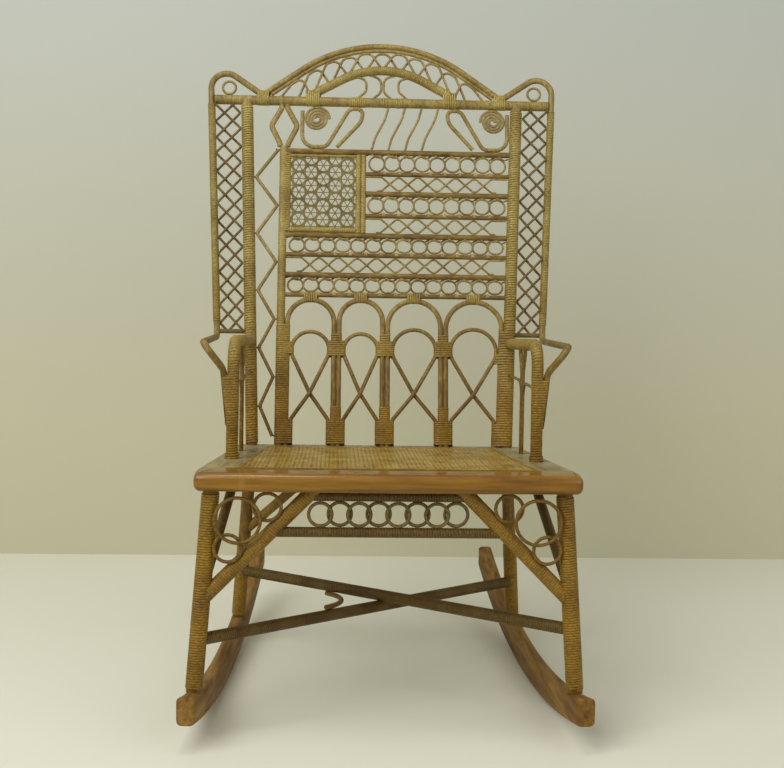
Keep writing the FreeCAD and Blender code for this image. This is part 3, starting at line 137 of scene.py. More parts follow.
def addRange(tree, value, low, high, outLow=0.0, outHigh=1.0):
    node = tree.nodes.new("ShaderNodeMapRange")
    node.inputs["From Min"].default_value = low
    node.inputs["From Max"].default_value = high
    node.inputs["To Min"].default_value = outLow
    node.inputs["To Max"].default_value = outHigh
    tree.links.new(value, node.inputs["Value"])
    return node.outputs["Result"]


def addHeight(tree, where):
    split = tree.nodes.new("ShaderNodeSeparateXYZ")
    tree.links.new(where, split.inputs["Vector"])
    return split.outputs["Z"]


def addBump(tree, shader, height, strength, distance):
    bump = tree.nodes.new("ShaderNodeBump")
    bump.inputs["Strength"].default_value = strength
    bump.inputs["Distance"].default_value = distance
    tree.links.new(height, bump.inputs["Height"])
    tree.links.new(bump.outputs["Normal"], shader.inputs["Normal"])


# cane and rod share one build: low tones at the seat, high tones up the back, painted shade along strip edges
# for the grooves between turns
def reedFinish(name, low, high, streak, grain, gloss, coat=0.0):
    finish, tree, shader, where = startFinish(name)
    patches = addNoise(tree, where, 22.0, 3.0)
    fibres = addNoise(tree, where, 260.0, 3.0, streak)
    warm = addRamp(tree, fibres, [(0.25, low[0]), (0.5, low[1]), (0.75, low[2])])
    dusty = addRamp(tree, fibres, [(0.25, high[0]), (0.5, high[1]), (0.75, high[2])])
    climb = addRange(tree, addHeight(tree, where), 0.42, 0.70)
    colour = addMix(tree, climb, warm, dusty)
    stain = addRamp(tree, patches, [(0.32, tone(196, 184, 160)), (0.62, tone(255, 255, 255))])
    colour = addMix(tree, 0.75, colour, stain, "MULTIPLY")
    edge = tree.nodes.new("ShaderNodeAttribute")  # 1 along the edges of a wound strip
    edge.attribute_name = "edge"
    # painted shade: each wound strip is darkened towards its edges, standing for the shadow in the grooves
    # between turns
    grooveShade = addRamp(tree, edge.outputs["Fac"], [(0.35, tone(255, 255, 255)), (1.0, tone(146, 126, 92))])
    colour = addMix(tree, 1.0, colour, grooveShade, "MULTIPLY")
    tree.links.new(colour, shader.inputs["Base Color"])
    tree.links.new(addRange(tree, patches, 0.3, 0.7, gloss + 0.12, gloss - 0.08), shader.inputs["Roughness"])
    shader.inputs["Specular IOR Level"].default_value = 0.3
    shader.inputs["Coat Weight"].default_value = coat
    shader.inputs["Coat Roughness"].default_value = 0.3
    addBump(tree, shader, fibres, grain, 0.0004)
    return finish


caneLow = (tone(104, 74, 12), tone(136, 103, 24), tone(162, 130, 40))
caneHigh = (tone(122, 102, 48), tone(156, 137, 72), tone(182, 166, 100))
rodLow = (tone(82, 56, 10), tone(112, 82, 20), tone(138, 108, 34))
rodHigh = (tone(106, 86, 40), tone(142, 122, 66), tone(168, 150, 92))
paleTones = (tone(130, 110, 60), tone(160, 140, 86), tone(182, 164, 112))
darkTones = (tone(54, 40, 10), tone(80, 62, 18), tone(104, 84, 30))
latticeTones = (tone(74, 56, 20), tone(104, 84, 38), tone(130, 110, 60))
railTones = (tone(86, 66, 26), tone(120, 96, 44), tone(148, 124, 68))
starTones = (tone(92, 80, 38), tone(116, 102, 54), tone(138, 124, 74))
uprightStreak = (1.0, 1.0, 1.7)
levelStreak = (1.7, 1.0, 1.0)
windingUpright = reedFinish("wound cane upright", caneLow, caneHigh, uprightStreak, 0.3, 0.44)
windingLevel = reedFinish("wound cane level", caneLow, caneHigh, levelStreak, 0.3, 0.44)
# painted shade: this darker copy of the wound cane stands for the shade on the wound bars under the seat
windingShadeDark = reedFinish("wound cane shaded dark", darkTones, darkTones, levelStreak, 0.35, 0.5)
paleReed = reedFinish("pale tie", paleTones, paleTones, (1.0, 1.0, 1.0), 0.25, 0.5)
roundReed = reedFinish("round reed", rodLow, rodHigh, (1.0, 1.0, 1.0), 0.25, 0.45)
rattanPole = reedFinish("rattan pole", rodLow, rodHigh, (1.0, 1.0, 0.25), 0.3, 0.42)
panelReed = reedFinish("panel reed", railTones, railTones, (0.25, 1.0, 1.0), 0.3, 0.5)
# darker lattice reed: its tones hold the reed's own darker brown and painted shade of the dense lattice and
# of the rings under the seat
latticeReed = reedFinish("lattice reed dark and shaded", latticeTones, latticeTones, (1.0, 1.0, 1.0), 0.3, 0.5)
starReed = reedFinish("star cane", starTones, starTones, (1.0, 1.0, 1.0), 0.25, 0.5)


def timberFinish(name, tones, worn, along, wear, gloss, coat):
    finish, tree, shader, where = startFinish(name)
    stretch = [1.0, 1.0, 1.0]
    stretch[along] = 0.06
    grain = addNoise(tree, where, 120.0, 5.0, stretch, 0.6)
    bands = addNoise(tree, where, 26.0, 2.0, stretch)
    rubbed = addNoise(tree, where, 14.0, 6.0, (1, 1, 1), 0.65)
    colour = addRamp(tree, grain, [(0.3, tones[0]), (0.5, tones[1]), (0.72, tones[2])])
    shade = addRamp(tree, bands, [(0.35, tone(196, 176, 150)), (0.6, tone(255, 255, 255))])
    colour = addMix(tree, 0.8, colour, shade, "MULTIPLY")
    rubbedOff = addRange(tree, rubbed, 0.62 - wear, 0.86 - wear)
    colour = addMix(tree, rubbedOff, colour, worn)
    tree.links.new(colour, shader.inputs["Base Color"])
    tree.links.new(addRange(tree, rubbed, 0.3, 0.75, gloss, gloss + 0.25), shader.inputs["Roughness"])
    shader.inputs["Specular IOR Level"].default_value = 0.2
    shader.inputs["Coat Weight"].default_value = coat
    shader.inputs["Coat Roughness"].default_value = 0.12
    addBump(tree, shader, grain, 0.18, 0.0004)
    return finish


frontRailWood = timberFinish("honey varnished seat front",
                             (tone(100, 66, 3), tone(131, 91, 6), tone(153, 111, 16)),
                             tone(158, 134, 70), 0, 0.0, 0.36, 0.5)
sideRailWood = timberFinish("worn seat side", (tone(114, 94, 50), tone(138, 122, 74), tone(158, 144, 98)),
                            tone(150, 142, 108), 1, 0.18, 0.48, 0.1)
rockerWood = timberFinish("worn rocker wood", (tone(98, 68, 22), tone(132, 98, 42), tone(156, 122, 66)),
                          tone(150, 134, 98), 1, 0.04, 0.5, 0.0)
dowelWood = timberFinish("dowel wood", (tone(120, 90, 44), tone(150, 118, 66), tone(172, 142, 92)),
                         tone(160, 140, 100), 2, 0.1, 0.5, 0.0)


def wovenFinish():
    finish, tree, shader, where = startFinish("woven seat cane")
    patches = addNoise(tree, where, 30.0, 4.0)
    fibres = addNoise(tree, where, 420.0, 2.0)
    straw = [(0.3, tone(146, 116, 42)), (0.5, tone(180, 150, 66)), (0.72, tone(204, 178, 98))]
    colour = addRamp(tree, fibres, straw)
    worn = addRamp(tree, patches, [(0.36, tone(188, 166, 128)), (0.6, tone(255, 255, 255))])
    tree.links.new(addMix(tree, 0.7, colour, worn, "MULTIPLY"), shader.inputs["Base Color"])
    shader.inputs["Roughness"].default_value = 0.42
    shader.inputs["Coat Weight"].default_value = 0.2
    addBump(tree, shader, fibres, 0.2, 0.0002)
    return finish


def ironFinish():
    finish, tree, shader, where = startFinish("nail iron")
    shader.inputs["Base Color"].default_value = tone(52, 40, 22)
    shader.inputs["Roughness"].default_value = 0.5
    return finish


wovenCane = wovenFinish()
nailIron = ironFinish()
print("finishes made")


# hand tools for the pieces
sharpEdge = math.radians(40)


def dropSelection():
    bpy.ops.object.select_all(action="DESELECT")


# edit mode with only those vertices, edges or faces selected that pass the test
def pickFrom(piece, kind, test):
    bpy.ops.object.mode_set(mode="EDIT")
    bpy.ops.mesh.select_mode(type=kind)
    bpy.ops.mesh.select_all(action="DESELECT")
    bpy.ops.object.mode_set(mode="OBJECT")
    for part in {"VERT": piece.data.vertices, "EDGE": piece.data.edges, "FACE": piece.data.polygons}[kind]:
        part.select = test(part)
    bpy.ops.object.mode_set(mode="EDIT")


def closeEdit():  # leave edit mode with all faces turned outward
    bpy.ops.mesh.select_all(action="SELECT")
    bpy.ops.mesh.normals_make_consistent(inside=False)
    bpy.ops.object.mode_set(mode="OBJECT")


def settle(piece, name, finish, replaced=()):
    piece.name = name
    piece.data.name = name
    piece.data.materials.clear()
    piece.data.materials.append(finish)
    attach(piece, "root")
    if replaced:
        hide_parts(*replaced)
    return piece


def joinPieces(pieces):
    dropSelection()
    for piece in pieces:
        piece.select_set(True)
    bpy.context.view_layer.objects.active = pieces[0]
    if len(pieces) > 1:
        bpy.ops.object.join()
    return pieces[0]


def applyPlace(piece, place):
    dropSelection()
    piece.select_set(True)
    bpy.context.view_layer.objects.active = piece
    piece.matrix_world = place
    bpy.ops.object.transform_apply(location=True, rotation=True, scale=True)


winding = {
    "pitch": 0.0038,
    "finePitch": 0.0031,
    "postPitch": 0.0044,
    "thickness": 0.0015,
    "stepsPerTurn": 14,
    "stripSides": 6,
    "overlap": 1.06,
    "proud": 0.0005,
}


# one strip of cane wound along Z from 0 to length, its outer face at radius
def windStrip(length, radius, pitch=winding["pitch"], width=None):
    width = width or pitch * winding["overlap"]
    dropSelection()
    bpy.ops.mesh.primitive_circle_add(vertices=winding["stripSides"], radius=1.0,
                                      rotation=(math.pi / 2, 0, 0))
    strip = bpy.context.active_object
    bpy.ops.object.transform_apply(location=True, rotation=True, scale=True)
    bpy.ops.object.mode_set(mode="EDIT")
    bpy.ops.mesh.select_all(action="SELECT")
    bpy.ops.transform.resize(value=(winding["thickness"] / 2, 1, width / 2), center_override=(0, 0, 0))
    bpy.ops.transform.translate(value=(radius - winding["thickness"] / 2, 0, 0))
    bpy.ops.object.mode_set(mode="OBJECT")
    # mask of the strip's edges, where the shadow in the grooves between turns is painted
    grooveShadeMask = [float(abs(v.co.z) > 0.45 * width) for v in strip.data.vertices]
    turns = max(1, round(length / pitch))
    screw = strip.modifiers.new("winding", "SCREW")
    screw.axis = "Z"
    screw.angle = 2 * math.pi
    screw.steps = winding["stepsPerTurn"]
    screw.render_steps = winding["stepsPerTurn"]
    screw.screw_offset = length / turns
    screw.iterations = turns
    screw.use_normal_calculate = True
    bpy.ops.object.modifier_apply(modifier="winding")
    # painted shade: the edge mask goes on as an attribute that darkens the strip edges in reedFinish
    edge = strip.data.attributes.new("edge", "FLOAT", "POINT")
    edge.data.foreach_set("value", grooveShadeMask * (len(strip.data.vertices) // len(grooveShadeMask)))
    bpy.ops.object.mode_set(mode="EDIT")
    bpy.ops.mesh.select_all(action="SELECT")
    bpy.ops.mesh.fill_holes(sides=winding["stripSides"])
    bpy.ops.mesh.normals_make_consistent(inside=False)
    bpy.ops.mesh.faces_shade_smooth()
    bpy.ops.object.mode_set(mode="OBJECT")
    return strip


def windBar(start, end, radius, pitch=winding["pitch"], width=None):
    start = Vector(start)
    run = Vector(end) - start
    strip = windStrip(run.length, radius, pitch, width)
    turn = run.to_track_quat("Z", "Y").to_matrix().to_4x4()
    applyPlace(strip, Matrix.Translation(start) @ turn)
    return strip


# strip round two rods: the second lies apart from the first in the direction toward
def windAround(start, end, radius, toward, apart, second, pitch=winding["pitch"]):
    start = Vector(start)
    run = Vector(end) - start
    strip = windStrip(run.length, radius, pitch)
    turning = radius * (radius - second) / apart
    pickFrom(strip, "VERT", lambda vertex: vertex.co.x > turning)
    scale = second / radius
    bpy.ops.transform.resize(value=(scale, scale, 1), center_override=(0, 0, 0))
    bpy.ops.transform.translate(value=(apart, 0, 0))
    bpy.ops.object.mode_set(mode="OBJECT")
    up = run.normalized()
    out = (Vector(toward) - up * up.dot(Vector(toward))).normalized()
    place = Matrix((out, up.cross(out), up)).transposed().to_4x4()
    applyPlace(strip, Matrix.Translation(start) @ place)
    return strip


# points of two straight runs with a round corner between them
def roundPath(first, corner, last, radius, count=16):
    before = (corner - first).normalized()
    after = (last - corner).normalized()
    turn = before.angle(after)
    centre = corner + (after - before).normalized() * radius / math.cos(turn / 2)
    inward = corner - before * radius * math.tan(turn / 2) - centre
    spots = [first]
    for i in range(count + 1):
        a = turn * i / count
        spots.append(centre + inward * math.cos(a) + before * radius * math.sin(a))
    return spots + [last]


# strip wound along a path of points
def windPath(spots, radius, pitch=winding["pitch"]):
    length = sum((b - a).length for a, b in zip(spots, spots[1:]))
    strip = windStrip(length, radius, pitch)
    path = bpy.data.curves.new("path", "CURVE")
    path.dimensions = "3D"
    line = path.splines.new("POLY")
    line.points.add(len(spots) - 1)
    for point, spot in zip(line.points, spots):
        point.co = (*spot, 1.0)
    guide = bpy.data.objects.new("guide", path)
    bpy.context.collection.objects.link(guide)
    dropSelection()
    strip.select_set(True)
    bpy.context.view_layer.objects.active = strip
    bend = strip.modifiers.new("bend", "CURVE")
    bend.object = guide
    bend.deform_axis = "POS_Z"
    bpy.context.view_layer.update()
    bpy.ops.object.modifier_apply(modifier="bend")
    bpy.data.objects.remove(guide)
    bpy.data.curves.remove(path)
    return strip


barFit = {"rounds": 8, "outer": 0.8, "skin": 0.25, "level": 0.2}


# centre line, ends and radius of a straight bar, read from its node
def barOf(node, keep=None):
    points = np.array([v.co for v in nodes[node].data.vertices])
    if keep is not None:
        points = points[[bool(keep(p)) for p in points]]
    origin = points.mean(0)
    axis = np.linalg.svd(points - origin, full_matrices=False)[2][0]
    for _ in range(barFit["rounds"]):
        side = np.cross(axis, (0.577, 0.577, -0.577))
        side /= np.linalg.norm(side)
        other = np.cross(axis, side)
        rel = points - origin
        t = rel @ axis
        a, b = rel @ side, rel @ other
        reach = np.hypot(a, b)
        radius = np.median(reach[reach > barFit["outer"] * reach.max()])
        on = np.abs(reach - radius) < barFit["skin"] * radius
        ca, cb = a[on] / reach[on], b[on] / reach[on]
        rows = np.stack([ca, cb, ca * t[on], cb * t[on], np.ones(on.sum())], 1)
        fit = np.linalg.lstsq(rows, reach[on], rcond=None)[0]
        origin = origin + fit[0] * side + fit[1] * other
        axis = axis + fit[2] * side + fit[3] * other
        axis /= np.linalg.norm(axis)
    if axis[2] < -barFit["level"] or (abs(axis[2]) <= barFit["level"] and axis[0] < 0):
        axis = -axis
    t = (points - origin) @ axis
    rel = points - origin - np.outer(t, axis)
    radius = np.sqrt((rel * rel).sum(1)).max()
    return Vector(origin + t.min() * axis), Vector(origin + t.max() * axis), float(radius)


# legs, posts and bars
sides = {"left": -1, "right": 1}
middleY = -0.12
legStrips = []
for sign in sides.values():
    for front in (True, False):
        low, high, radius = barOf("leg_wraps", lambda p: p[0] * sign > 0 and (p[1] < middleY) == front)
        legStrips.append(windBar(low, high, radius))
settle(joinPieces(legStrips), "leg_windings", windingUpright, ("leg_wraps",))
for hand, sign in sides.items():
    low, high, radius = barOf("post_wraps", lambda p: p[0] * sign > 0)
    strip = windBar(low, high, radius, winding["postPitch"])
    settle(strip, "post_winding_" + hand, windingUpright, ("post_wraps",))
print("legs and posts wound")

# painted shade: the stretchers, apron rails and side braces get the darker wound cane, standing for the shade
# under the seat
wrappedBars = {
    "stretcher_lower": windingShadeDark,
    "stretcher_upper": windingShadeDark,
    "front_brace_left": windingUpright,
    "front_brace_right": windingUpright,
    "apron_rail": windingShadeDark,
    "apron_top_rail": windingShadeDark,
}
for node, finish in wrappedBars.items():
    low, high, radius = barOf(node)
    settle(windBar(low, high, radius + winding["proud"]), node + "_winding", finish)
for node, finish in {"side_brace_pair": windingShadeDark, "rear_brace_pair": windingUpright}.items():
    strips = []
    for sign in sides.values():
        low, high, radius = barOf(node, lambda p: p[0] * sign > 0)
        strips.append(windBar(low, high, radius + winding["proud"]))
    settle(joinPieces(strips), node + "_winding", finish)
print("bars wound")

# arms: one strip from the seat over the bend to the back post, spread where it also holds the wing rod
arm = {
    "lead": 0.009,
    "lean": 0.0035,
    "rearHeight": 0.546,
    "bend": 0.028,
    "radius": 0.0097,
    "pitch": 0.0040,
    "jointDepth": 0.020,
    "jointTop": 0.509,
    "jointLow": 0.431,
    "spreadTop": 0.0100,
    "spreadLow": 0.0006,
    "collar": 0.0114,
    "collarHeight": 0.008,
    "postClear": 0.0105,
}
for hand, sign in sides.items():
    foot = onSeat(sign * chair["armHalf"], chair["armSetback"])
    top = Vector((sign * (chair["armHalf"] - arm["lean"]), foot.y - arm["lead"], chair["armHeight"]))
    rearV = levelOnBack(arm["rearHeight"])
    rear = onBack(sign * postX(rearV), rearV)
    rear = rear - (rear - top).normalized() * arm["postClear"]
    strip = windPath(roundPath(foot, top, rear, arm["bend"]), arm["radius"], arm["pitch"])
    for vertex in strip.data.vertices:
        z = vertex.co.z
        t = (z - arm["jointLow"]) / (arm["jointTop"] - arm["jointLow"])
        axisX = foot.x + (top.x - foot.x) * (z - foot.z) / (top.z - foot.z)
        outward = (vertex.co.x - axisX) * sign
        if 0 < t < 1 and outward > 0 and vertex.co.y < foot.y + arm["jointDepth"]:
            vertex.co.x += sign * (arm["spreadLow"] + t * (arm["spreadTop"] - arm["spreadLow"]))
    collarTop = foot + (top - foot).normalized() * arm["collarHeight"]
    collar = windBar(foot, collarTop, arm["collar"], arm["pitch"])
    settle(joinPieces([strip, collar]), "arm_winding_" + hand, windingUpright)

# wing rods, wound on their straight run only
wing = {"low": 0.218, "high": 0.614, "radius": 0.0068, "drop": 0.012}
bendV = levelOnBack(chair["armHeight"] - wing["drop"])
for hand, sign in sides.items():
    ends = []
    for v in (wing["low"], wing["high"]):
        share = (v - bendV) / (chair["railLevel"] - bendV)
        x = chair["wingFoot"] + (chair["wingTop"] - chair["wingFoot"]) * share
        ends.append(onBack(sign * x, v))
    strip = windBar(ends[0], ends[1], wing["radius"], winding["finePitch"])
    settle(strip, "wing_winding_" + hand, windingUpright)
print("arms and wings wound")

# crest arch: a round middle with straight ends
crest = {"apex": 0.684, "arc": 0.154, "angle": 29.0, "radius": 0.0083, "endV": 0.640, "steps": 24}
slant = math.radians(crest["angle"])
archV = crest["apex"] - crest["arc"]
spots = []
for i in range(crest["steps"] + 1):
    a = slant * (2 * i / crest["steps"] - 1)
    spots.append((crest["arc"] * math.sin(a), archV + crest["arc"] * math.cos(a)))
endX = spots[-1][0] + (spots[-1][1] - crest["endV"]) / math.tan(slant)
spots = [(-endX, crest["endV"])] + spots + [(endX, crest["endV"])]
strip = windPath([onBack(x, v) for x, v in spots], crest["radius"], winding["pitch"])
settle(strip, "crest_arch_winding", windingLevel)

# bindings of the top rail: plain ones, and ones that also hold the foot of the arch or of ear and bow
railBinding = {
    "radius": 0.0094,
    "plain": ((-0.185, -0.179), (-0.056, -0.030), (0.000, 0.009), (0.024, 0.036)),
    "archFeet": ((-0.137, -0.112), (0.110, 0.134)),
    "archReach": 0.0135,
    "archRadius": 0.0078,
    "earFeet": ((-0.224, -0.203), (0.203, 0.224)),
    "earReach": 0.0125,
    "earRadius": 0.0066,
}
railV = chair["railLevel"]
strips = []
for low, high in railBinding["plain"]:
    strips.append(windBar(onBack(low, railV), onBack(high, railV), railBinding["radius"]))
for kind in ("arch", "ear"):
    for low, high in railBinding[kind + "Feet"]:
        strips.append(windAround(onBack(low, railV), onBack(high, railV), railBinding["radius"], backUp,
                                 railBinding[kind + "Reach"], railBinding[kind + "Radius"]))
settle(joinPieces(strips), "rail_bindings", windingLevel)
print("crest and rail wound")

# panel: stile, border of the caned square, lashing of the rails
panel = {
    "top": 0.5296,
    "rows": (0.0403, 0.0367, 0.0403, 0.0367, 0.0360, 0.0367, 0.0360),
    "railRadius": 0.0050,
    "slimRadius": 0.0040,
    "stileRadius": 0.0070,
    "stileTop": 0.5376,
    "bindTop": 0.212,
    "edgeRod": 0.006,
    "borderRod": 0.009,
    "square": 0.116,
    "lashRadius": 0.0042,
    "lashDrop": 0.0015,
    "lashPitch": 0.0272,
    "lashWidth": 0.0056,
    "loopPitch": 0.0272,
    "loopWidth": 0.0304,
    "tieRadius": 0.0047,
    "tieHalf": 0.0030,
    "tieLift": 0.0013,
    "postClear": 0.0110,
}
gap = 0.0001
stileX = chair["stile"]
levels = [panel["top"]]
for drop in panel["rows"]:
    levels.append(levels[-1] - drop)
squareLeft = stileX + panel["stileRadius"] + panel["edgeRod"] + 2 * gap
squareRight = squareLeft + panel["square"]
borderX = [squareRight + panel["borderRod"] / 2 + gap, squareRight + 1.5 * panel["borderRod"] + 2 * gap]
squareTop = levels[0] - panel["railRadius"]
squareLow = levels[4] + panel["railRadius"]
borderRadius = panel["borderRod"] / 2 + winding["proud"]
stileRadius = panel["stileRadius"] + winding["proud"]
strips = [
    windBar(onBack(stileX, panel["bindTop"]), onBack(stileX, squareLow), stileRadius),
    windAround(onBack(stileX, squareLow), onBack(stileX, squareTop), stileRadius, across,
               panel["stileRadius"] + panel["edgeRod"] / 2, panel["edgeRod"] / 2 + winding["proud"]),
    windBar(onBack(stileX, squareTop), onBack(stileX, panel["stileTop"]), stileRadius),
]
settle(joinPieces(strips), "stile_winding", windingUpright)
strips = [windBar(onBack(x, squareLow), onBack(x, squareTop), borderRadius) for x in borderX]
lowV = squareLow + panel["borderRod"] / 2
strips.append(windBar(onBack(squareLeft, lowV), onBack(squareRight, lowV), borderRadius))
settle(joinPieces(strips), "square_border_winding", windingUpright)
rowStart = borderX[1] + panel["borderRod"] / 2
lashes = []
ties = []
for i in (0, 2, 4, 6):
    start = rowStart if i < 4 else stileX + panel["stileRadius"]
    v = levels[i] - panel["railRadius"] - panel["lashDrop"]
    end = postX(v) - panel["postClear"]
    lashes.append(windBar(onBack(start, v), onBack(end, v), panel["lashRadius"],
                          panel["lashPitch"], panel["lashWidth"]))
    low = levels[i + 1] + panel["tieLift"]
    count = int((end - start - panel["loopWidth"]) / panel["loopPitch"]) + 1
    first = (start + end) / 2 - panel["loopPitch"] * (count - 1) / 2
    for k in range(count - 1):
        x = first + (k + 0.5) * panel["loopPitch"]
        ties.append(windBar(onBack(x - panel["tieHalf"], low), onBack(x + panel["tieHalf"], low),
                            panel["tieRadius"]))
settle(joinPieces(lashes), "rail_lashing", roundReed)
settle(joinPieces(ties), "loop_ties", paleReed)
print("panel wound")

# arcade: crowns tied to the rail above, paired legs and ribbons bound together
arcade = {
    "shares": (0.240, 0.225, 0.270),
    "rod": 0.0045,
    "ribbon": 0.0035,
    "crownHalf": 0.012,
    "crownRadius": 0.0053,
    "wide": (0.157, 0.184),
    "narrow": (0.184, 0.197),
    "lowWide": (0.002, 0.043),
    "lowNarrow": (0.043, 0.068),
    "pairRadius": 0.0053,
    "ribbonRadius": 0.0045,
    "ribbonTuck": 0.0010,
    "ribbonWrap": 0.0053,
    "stileWrap": 0.0010,
    "barePost": 0.0095,
    "postRadius": 0.0109,
    "lastShift": 0.0035,
    "stileRuns": (((0.002, 0.045), True), ((0.045, 0.160), False),
                  ((0.160, 0.182), True), ((0.182, 0.212), False)),
    "postRuns": (((0.002, 0.042), True), ((0.042, 0.147), False),
                 ((0.147, 0.166), True), ((0.166, 0.207), False)),
    "postEnd": (0.207, 0.230),
}
legSpan = arcade["rod"] + gap / 2
ribbonSpan = legSpan + arcade["rod"] + gap + arcade["ribbon"]
bayLeft = stileX + panel["stileRadius"] + gap
bayRight = postX(0) - arcade["barePost"] - gap
bays = [bayLeft]
for share in arcade["shares"]:
    bays.append(bays[-1] + share * (bayRight - bayLeft))
bays.append(bayRight)
crownV = levels[7] - panel["slimRadius"] - arcade["rod"] - gap
crowns = []
for i in range(4):
    x = (bays[i] + bays[i + 1]) / 2 + (arcade["lastShift"] if i == 3 else 0.0)
    crowns.append(windAround(onBack(x - arcade["crownHalf"], crownV), onBack(x + arcade["crownHalf"], crownV),
                             arcade["crownRadius"], backUp, levels[7] - crownV, arcade["crownRadius"]))
settle(joinPieces(crowns), "crown_bindings", windingLevel)
strips = []
for i in range(1, 4):
    middle = bays[i]
    wideSpan = ribbonSpan - arcade["ribbonTuck"]
    for key, reach, radius in (("wide", wideSpan, arcade["ribbonWrap"]),
                               ("narrow", legSpan, arcade["pairRadius"]),
                               ("lowWide", wideSpan, arcade["ribbonWrap"]),
                               ("lowNarrow", legSpan, arcade["pairRadius"])):
        low, high = arcade[key]
        strips.append(windAround(onBack(middle - reach, low), onBack(middle - reach, high), radius,
                                 across, 2 * reach, radius))
for (low, high), withRibbon in arcade["stileRuns"]:
    apart = panel["stileRadius"] + gap + (ribbonSpan if withRibbon else legSpan)
    second = arcade["ribbonRadius"] if withRibbon else arcade["pairRadius"]
    strips.append(windAround(onBack(stileX, low), onBack(stileX, high),
                             panel["stileRadius"] + arcade["stileWrap"], across, apart, second))
for (low, high), withRibbon in arcade["postRuns"]:
    apart = arcade["barePost"] + gap + (ribbonSpan if withRibbon else legSpan)
    second = arcade["ribbonRadius"] if withRibbon else arcade["pairRadius"]
    strips.append(windAround(onBack(postX(low), low), onBack(postX(high), high), arcade["postRadius"],
                             -across, apart, second, winding["postPitch"]))
low, high = arcade["postEnd"]
strips.append(windBar(onBack(postX(low), low), onBack(postX(high), high),
                      arcade["postRadius"], winding["postPitch"]))
settle(joinPieces(strips), "arcade_windings", windingUpright, ("stile_bindings",))
print("arcade bound")

# nails that hold the corners of the zigzag rod, by turns in the stile and in the post
nail = {
    "top": 0.5316,
    "step": 0.0515,
    "count": 11,
    "rod": 0.0030,
    "shank": 0.0012,
    "length": 0.0110,
    "headScale": 2.1,
    "headHeight": 0.0014,
    "headTaper": 0.6,
    "postRadius": 0.0110,
}
nails = []
for k in range(nail["count"]):
    v = nail["top"] - k * nail["step"]
    inStile = k % 2 == 0
    if inStile:
        x = stileX - panel["stileRadius"] - 2 * nail["rod"]
    else:
        x = -postX(v) + nail["postRadius"] + 2 * nail["rod"]
    dropSelection()
    bpy.ops.mesh.primitive_cylinder_add(vertices=10, radius=nail["shank"], depth=nail["length"],
                                        rotation=(0, math.pi / 2, 0), location=(nail["length"] / 2, 0, 0))
    pin = bpy.context.active_object
    bpy.ops.object.transform_apply(location=True, rotation=True, scale=True)
    pickFrom(pin, "FACE", lambda face: face.normal.x < -0.9)
    scale = nail["headScale"]
    bpy.ops.mesh.extrude_region_move(TRANSFORM_OT_translate={"value": (0, 0, 0)})
    bpy.ops.transform.resize(value=(1, scale, scale), center_override=(0, 0, 0))
    bpy.ops.mesh.extrude_region_move(TRANSFORM_OT_translate={"value": (-nail["headHeight"], 0, 0)})
    bpy.ops.transform.resize(value=(1, nail["headTaper"], nail["headTaper"]), center_override=(0, 0, 0))
    closeEdit()
    bpy.ops.object.shade_smooth_by_angle(angle=sharpEdge)
    turn = Matrix.Rotation(0 if inStile else math.pi, 4, "Z")
    applyPlace(pin, backPlace @ Matrix.Translation((x, 0, v)) @ turn)
    nails.append(pin)
settle(joinPieces(nails), "zigzag_nails", nailIron)
print("zigzag nailed")


# flat strips and their weave
def flatStrip(length, width, thickness, height):
    dropSelection()
    bpy.ops.mesh.primitive_cube_add(size=1.0)
    strip = bpy.context.active_object
    bpy.ops.object.mode_set(mode="EDIT")
    bpy.ops.mesh.select_all(action="SELECT")
    bpy.ops.transform.resize(value=(width, length, thickness), center_override=(0, 0, 0))
    bpy.ops.transform.translate(value=(0, 0, height))
    bpy.ops.object.mode_set(mode="OBJECT")
    return strip


def repeatAcross(strip, count, step):
    spread = strip.modifiers.new("spread", "ARRAY")
    spread.use_relative_offset = False
    spread.use_constant_offset = True
    spread.constant_offset_displace = step
    spread.count = count
    dropSelection()
    strip.select_set(True)
    bpy.context.view_layer.objects.active = strip
    bpy.ops.object.modifier_apply(modifier="spread")


def cutBy(piece, point, outward):
    dropSelection()
    piece.select_set(True)
    bpy.context.view_layer.objects.active = piece
    bpy.ops.object.mode_set(mode="EDIT")
    bpy.ops.mesh.select_all(action="SELECT")
    bpy.ops.mesh.bisect(plane_co=point, plane_no=outward, use_fill=True, clear_outer=True)
    closeEdit()


# seat cane: pairs of woven strips both ways, crossed by two sets of slanted ones
seatCane = {
    "cell": 0.0130,
    "pair": 0.0016,
    "width": 0.0022,
    "thickness": 0.0005,
    "wave": 0.00028,
    "height": 0.00056,
    "slantWidth": 0.0024,
    "slantHeights": (0.00112, 0.00138),
    "slantThickness": 0.0004,
    "slantLength": 0.56,
    "slantReach": 0.19,
    "frontY": 0.06255,
    "rearY": 0.40345,
    "frontHalf": 0.2121,
    "rearHalf": 0.1885,
}


# one strip along Y over count cells, up at one thread of each crossing pair and down at the other
def wovenStrip(count, firstUp):
    cell = seatCane["cell"]
    dropSelection()
    bpy.ops.mesh.primitive_grid_add(x_subdivisions=1, y_subdivisions=3 * count, size=1.0)
    strip = bpy.context.active_object
    rows = 3 * count + 1
    for vertex in strip.data.vertices:
        row = round((vertex.co.y + 0.5) * (rows - 1))
        number, part = divmod(row, 3)
        offset = (-cell / 2, -seatCane["pair"], seatCane["pair"])[part]
        lift = (0, 1, -1)[part] * (1 if firstUp else -1)
        vertex.co.y = number * cell + offset
        vertex.co.x = vertex.co.x * seatCane["width"]
        vertex.co.z = seatCane["height"] + lift * seatCane["wave"]
    depth = strip.modifiers.new("depth", "SOLIDIFY")
    depth.thickness = seatCane["thickness"]
    depth.offset = 0.0
    bpy.ops.object.modifier_apply(modifier="depth")
    return strip


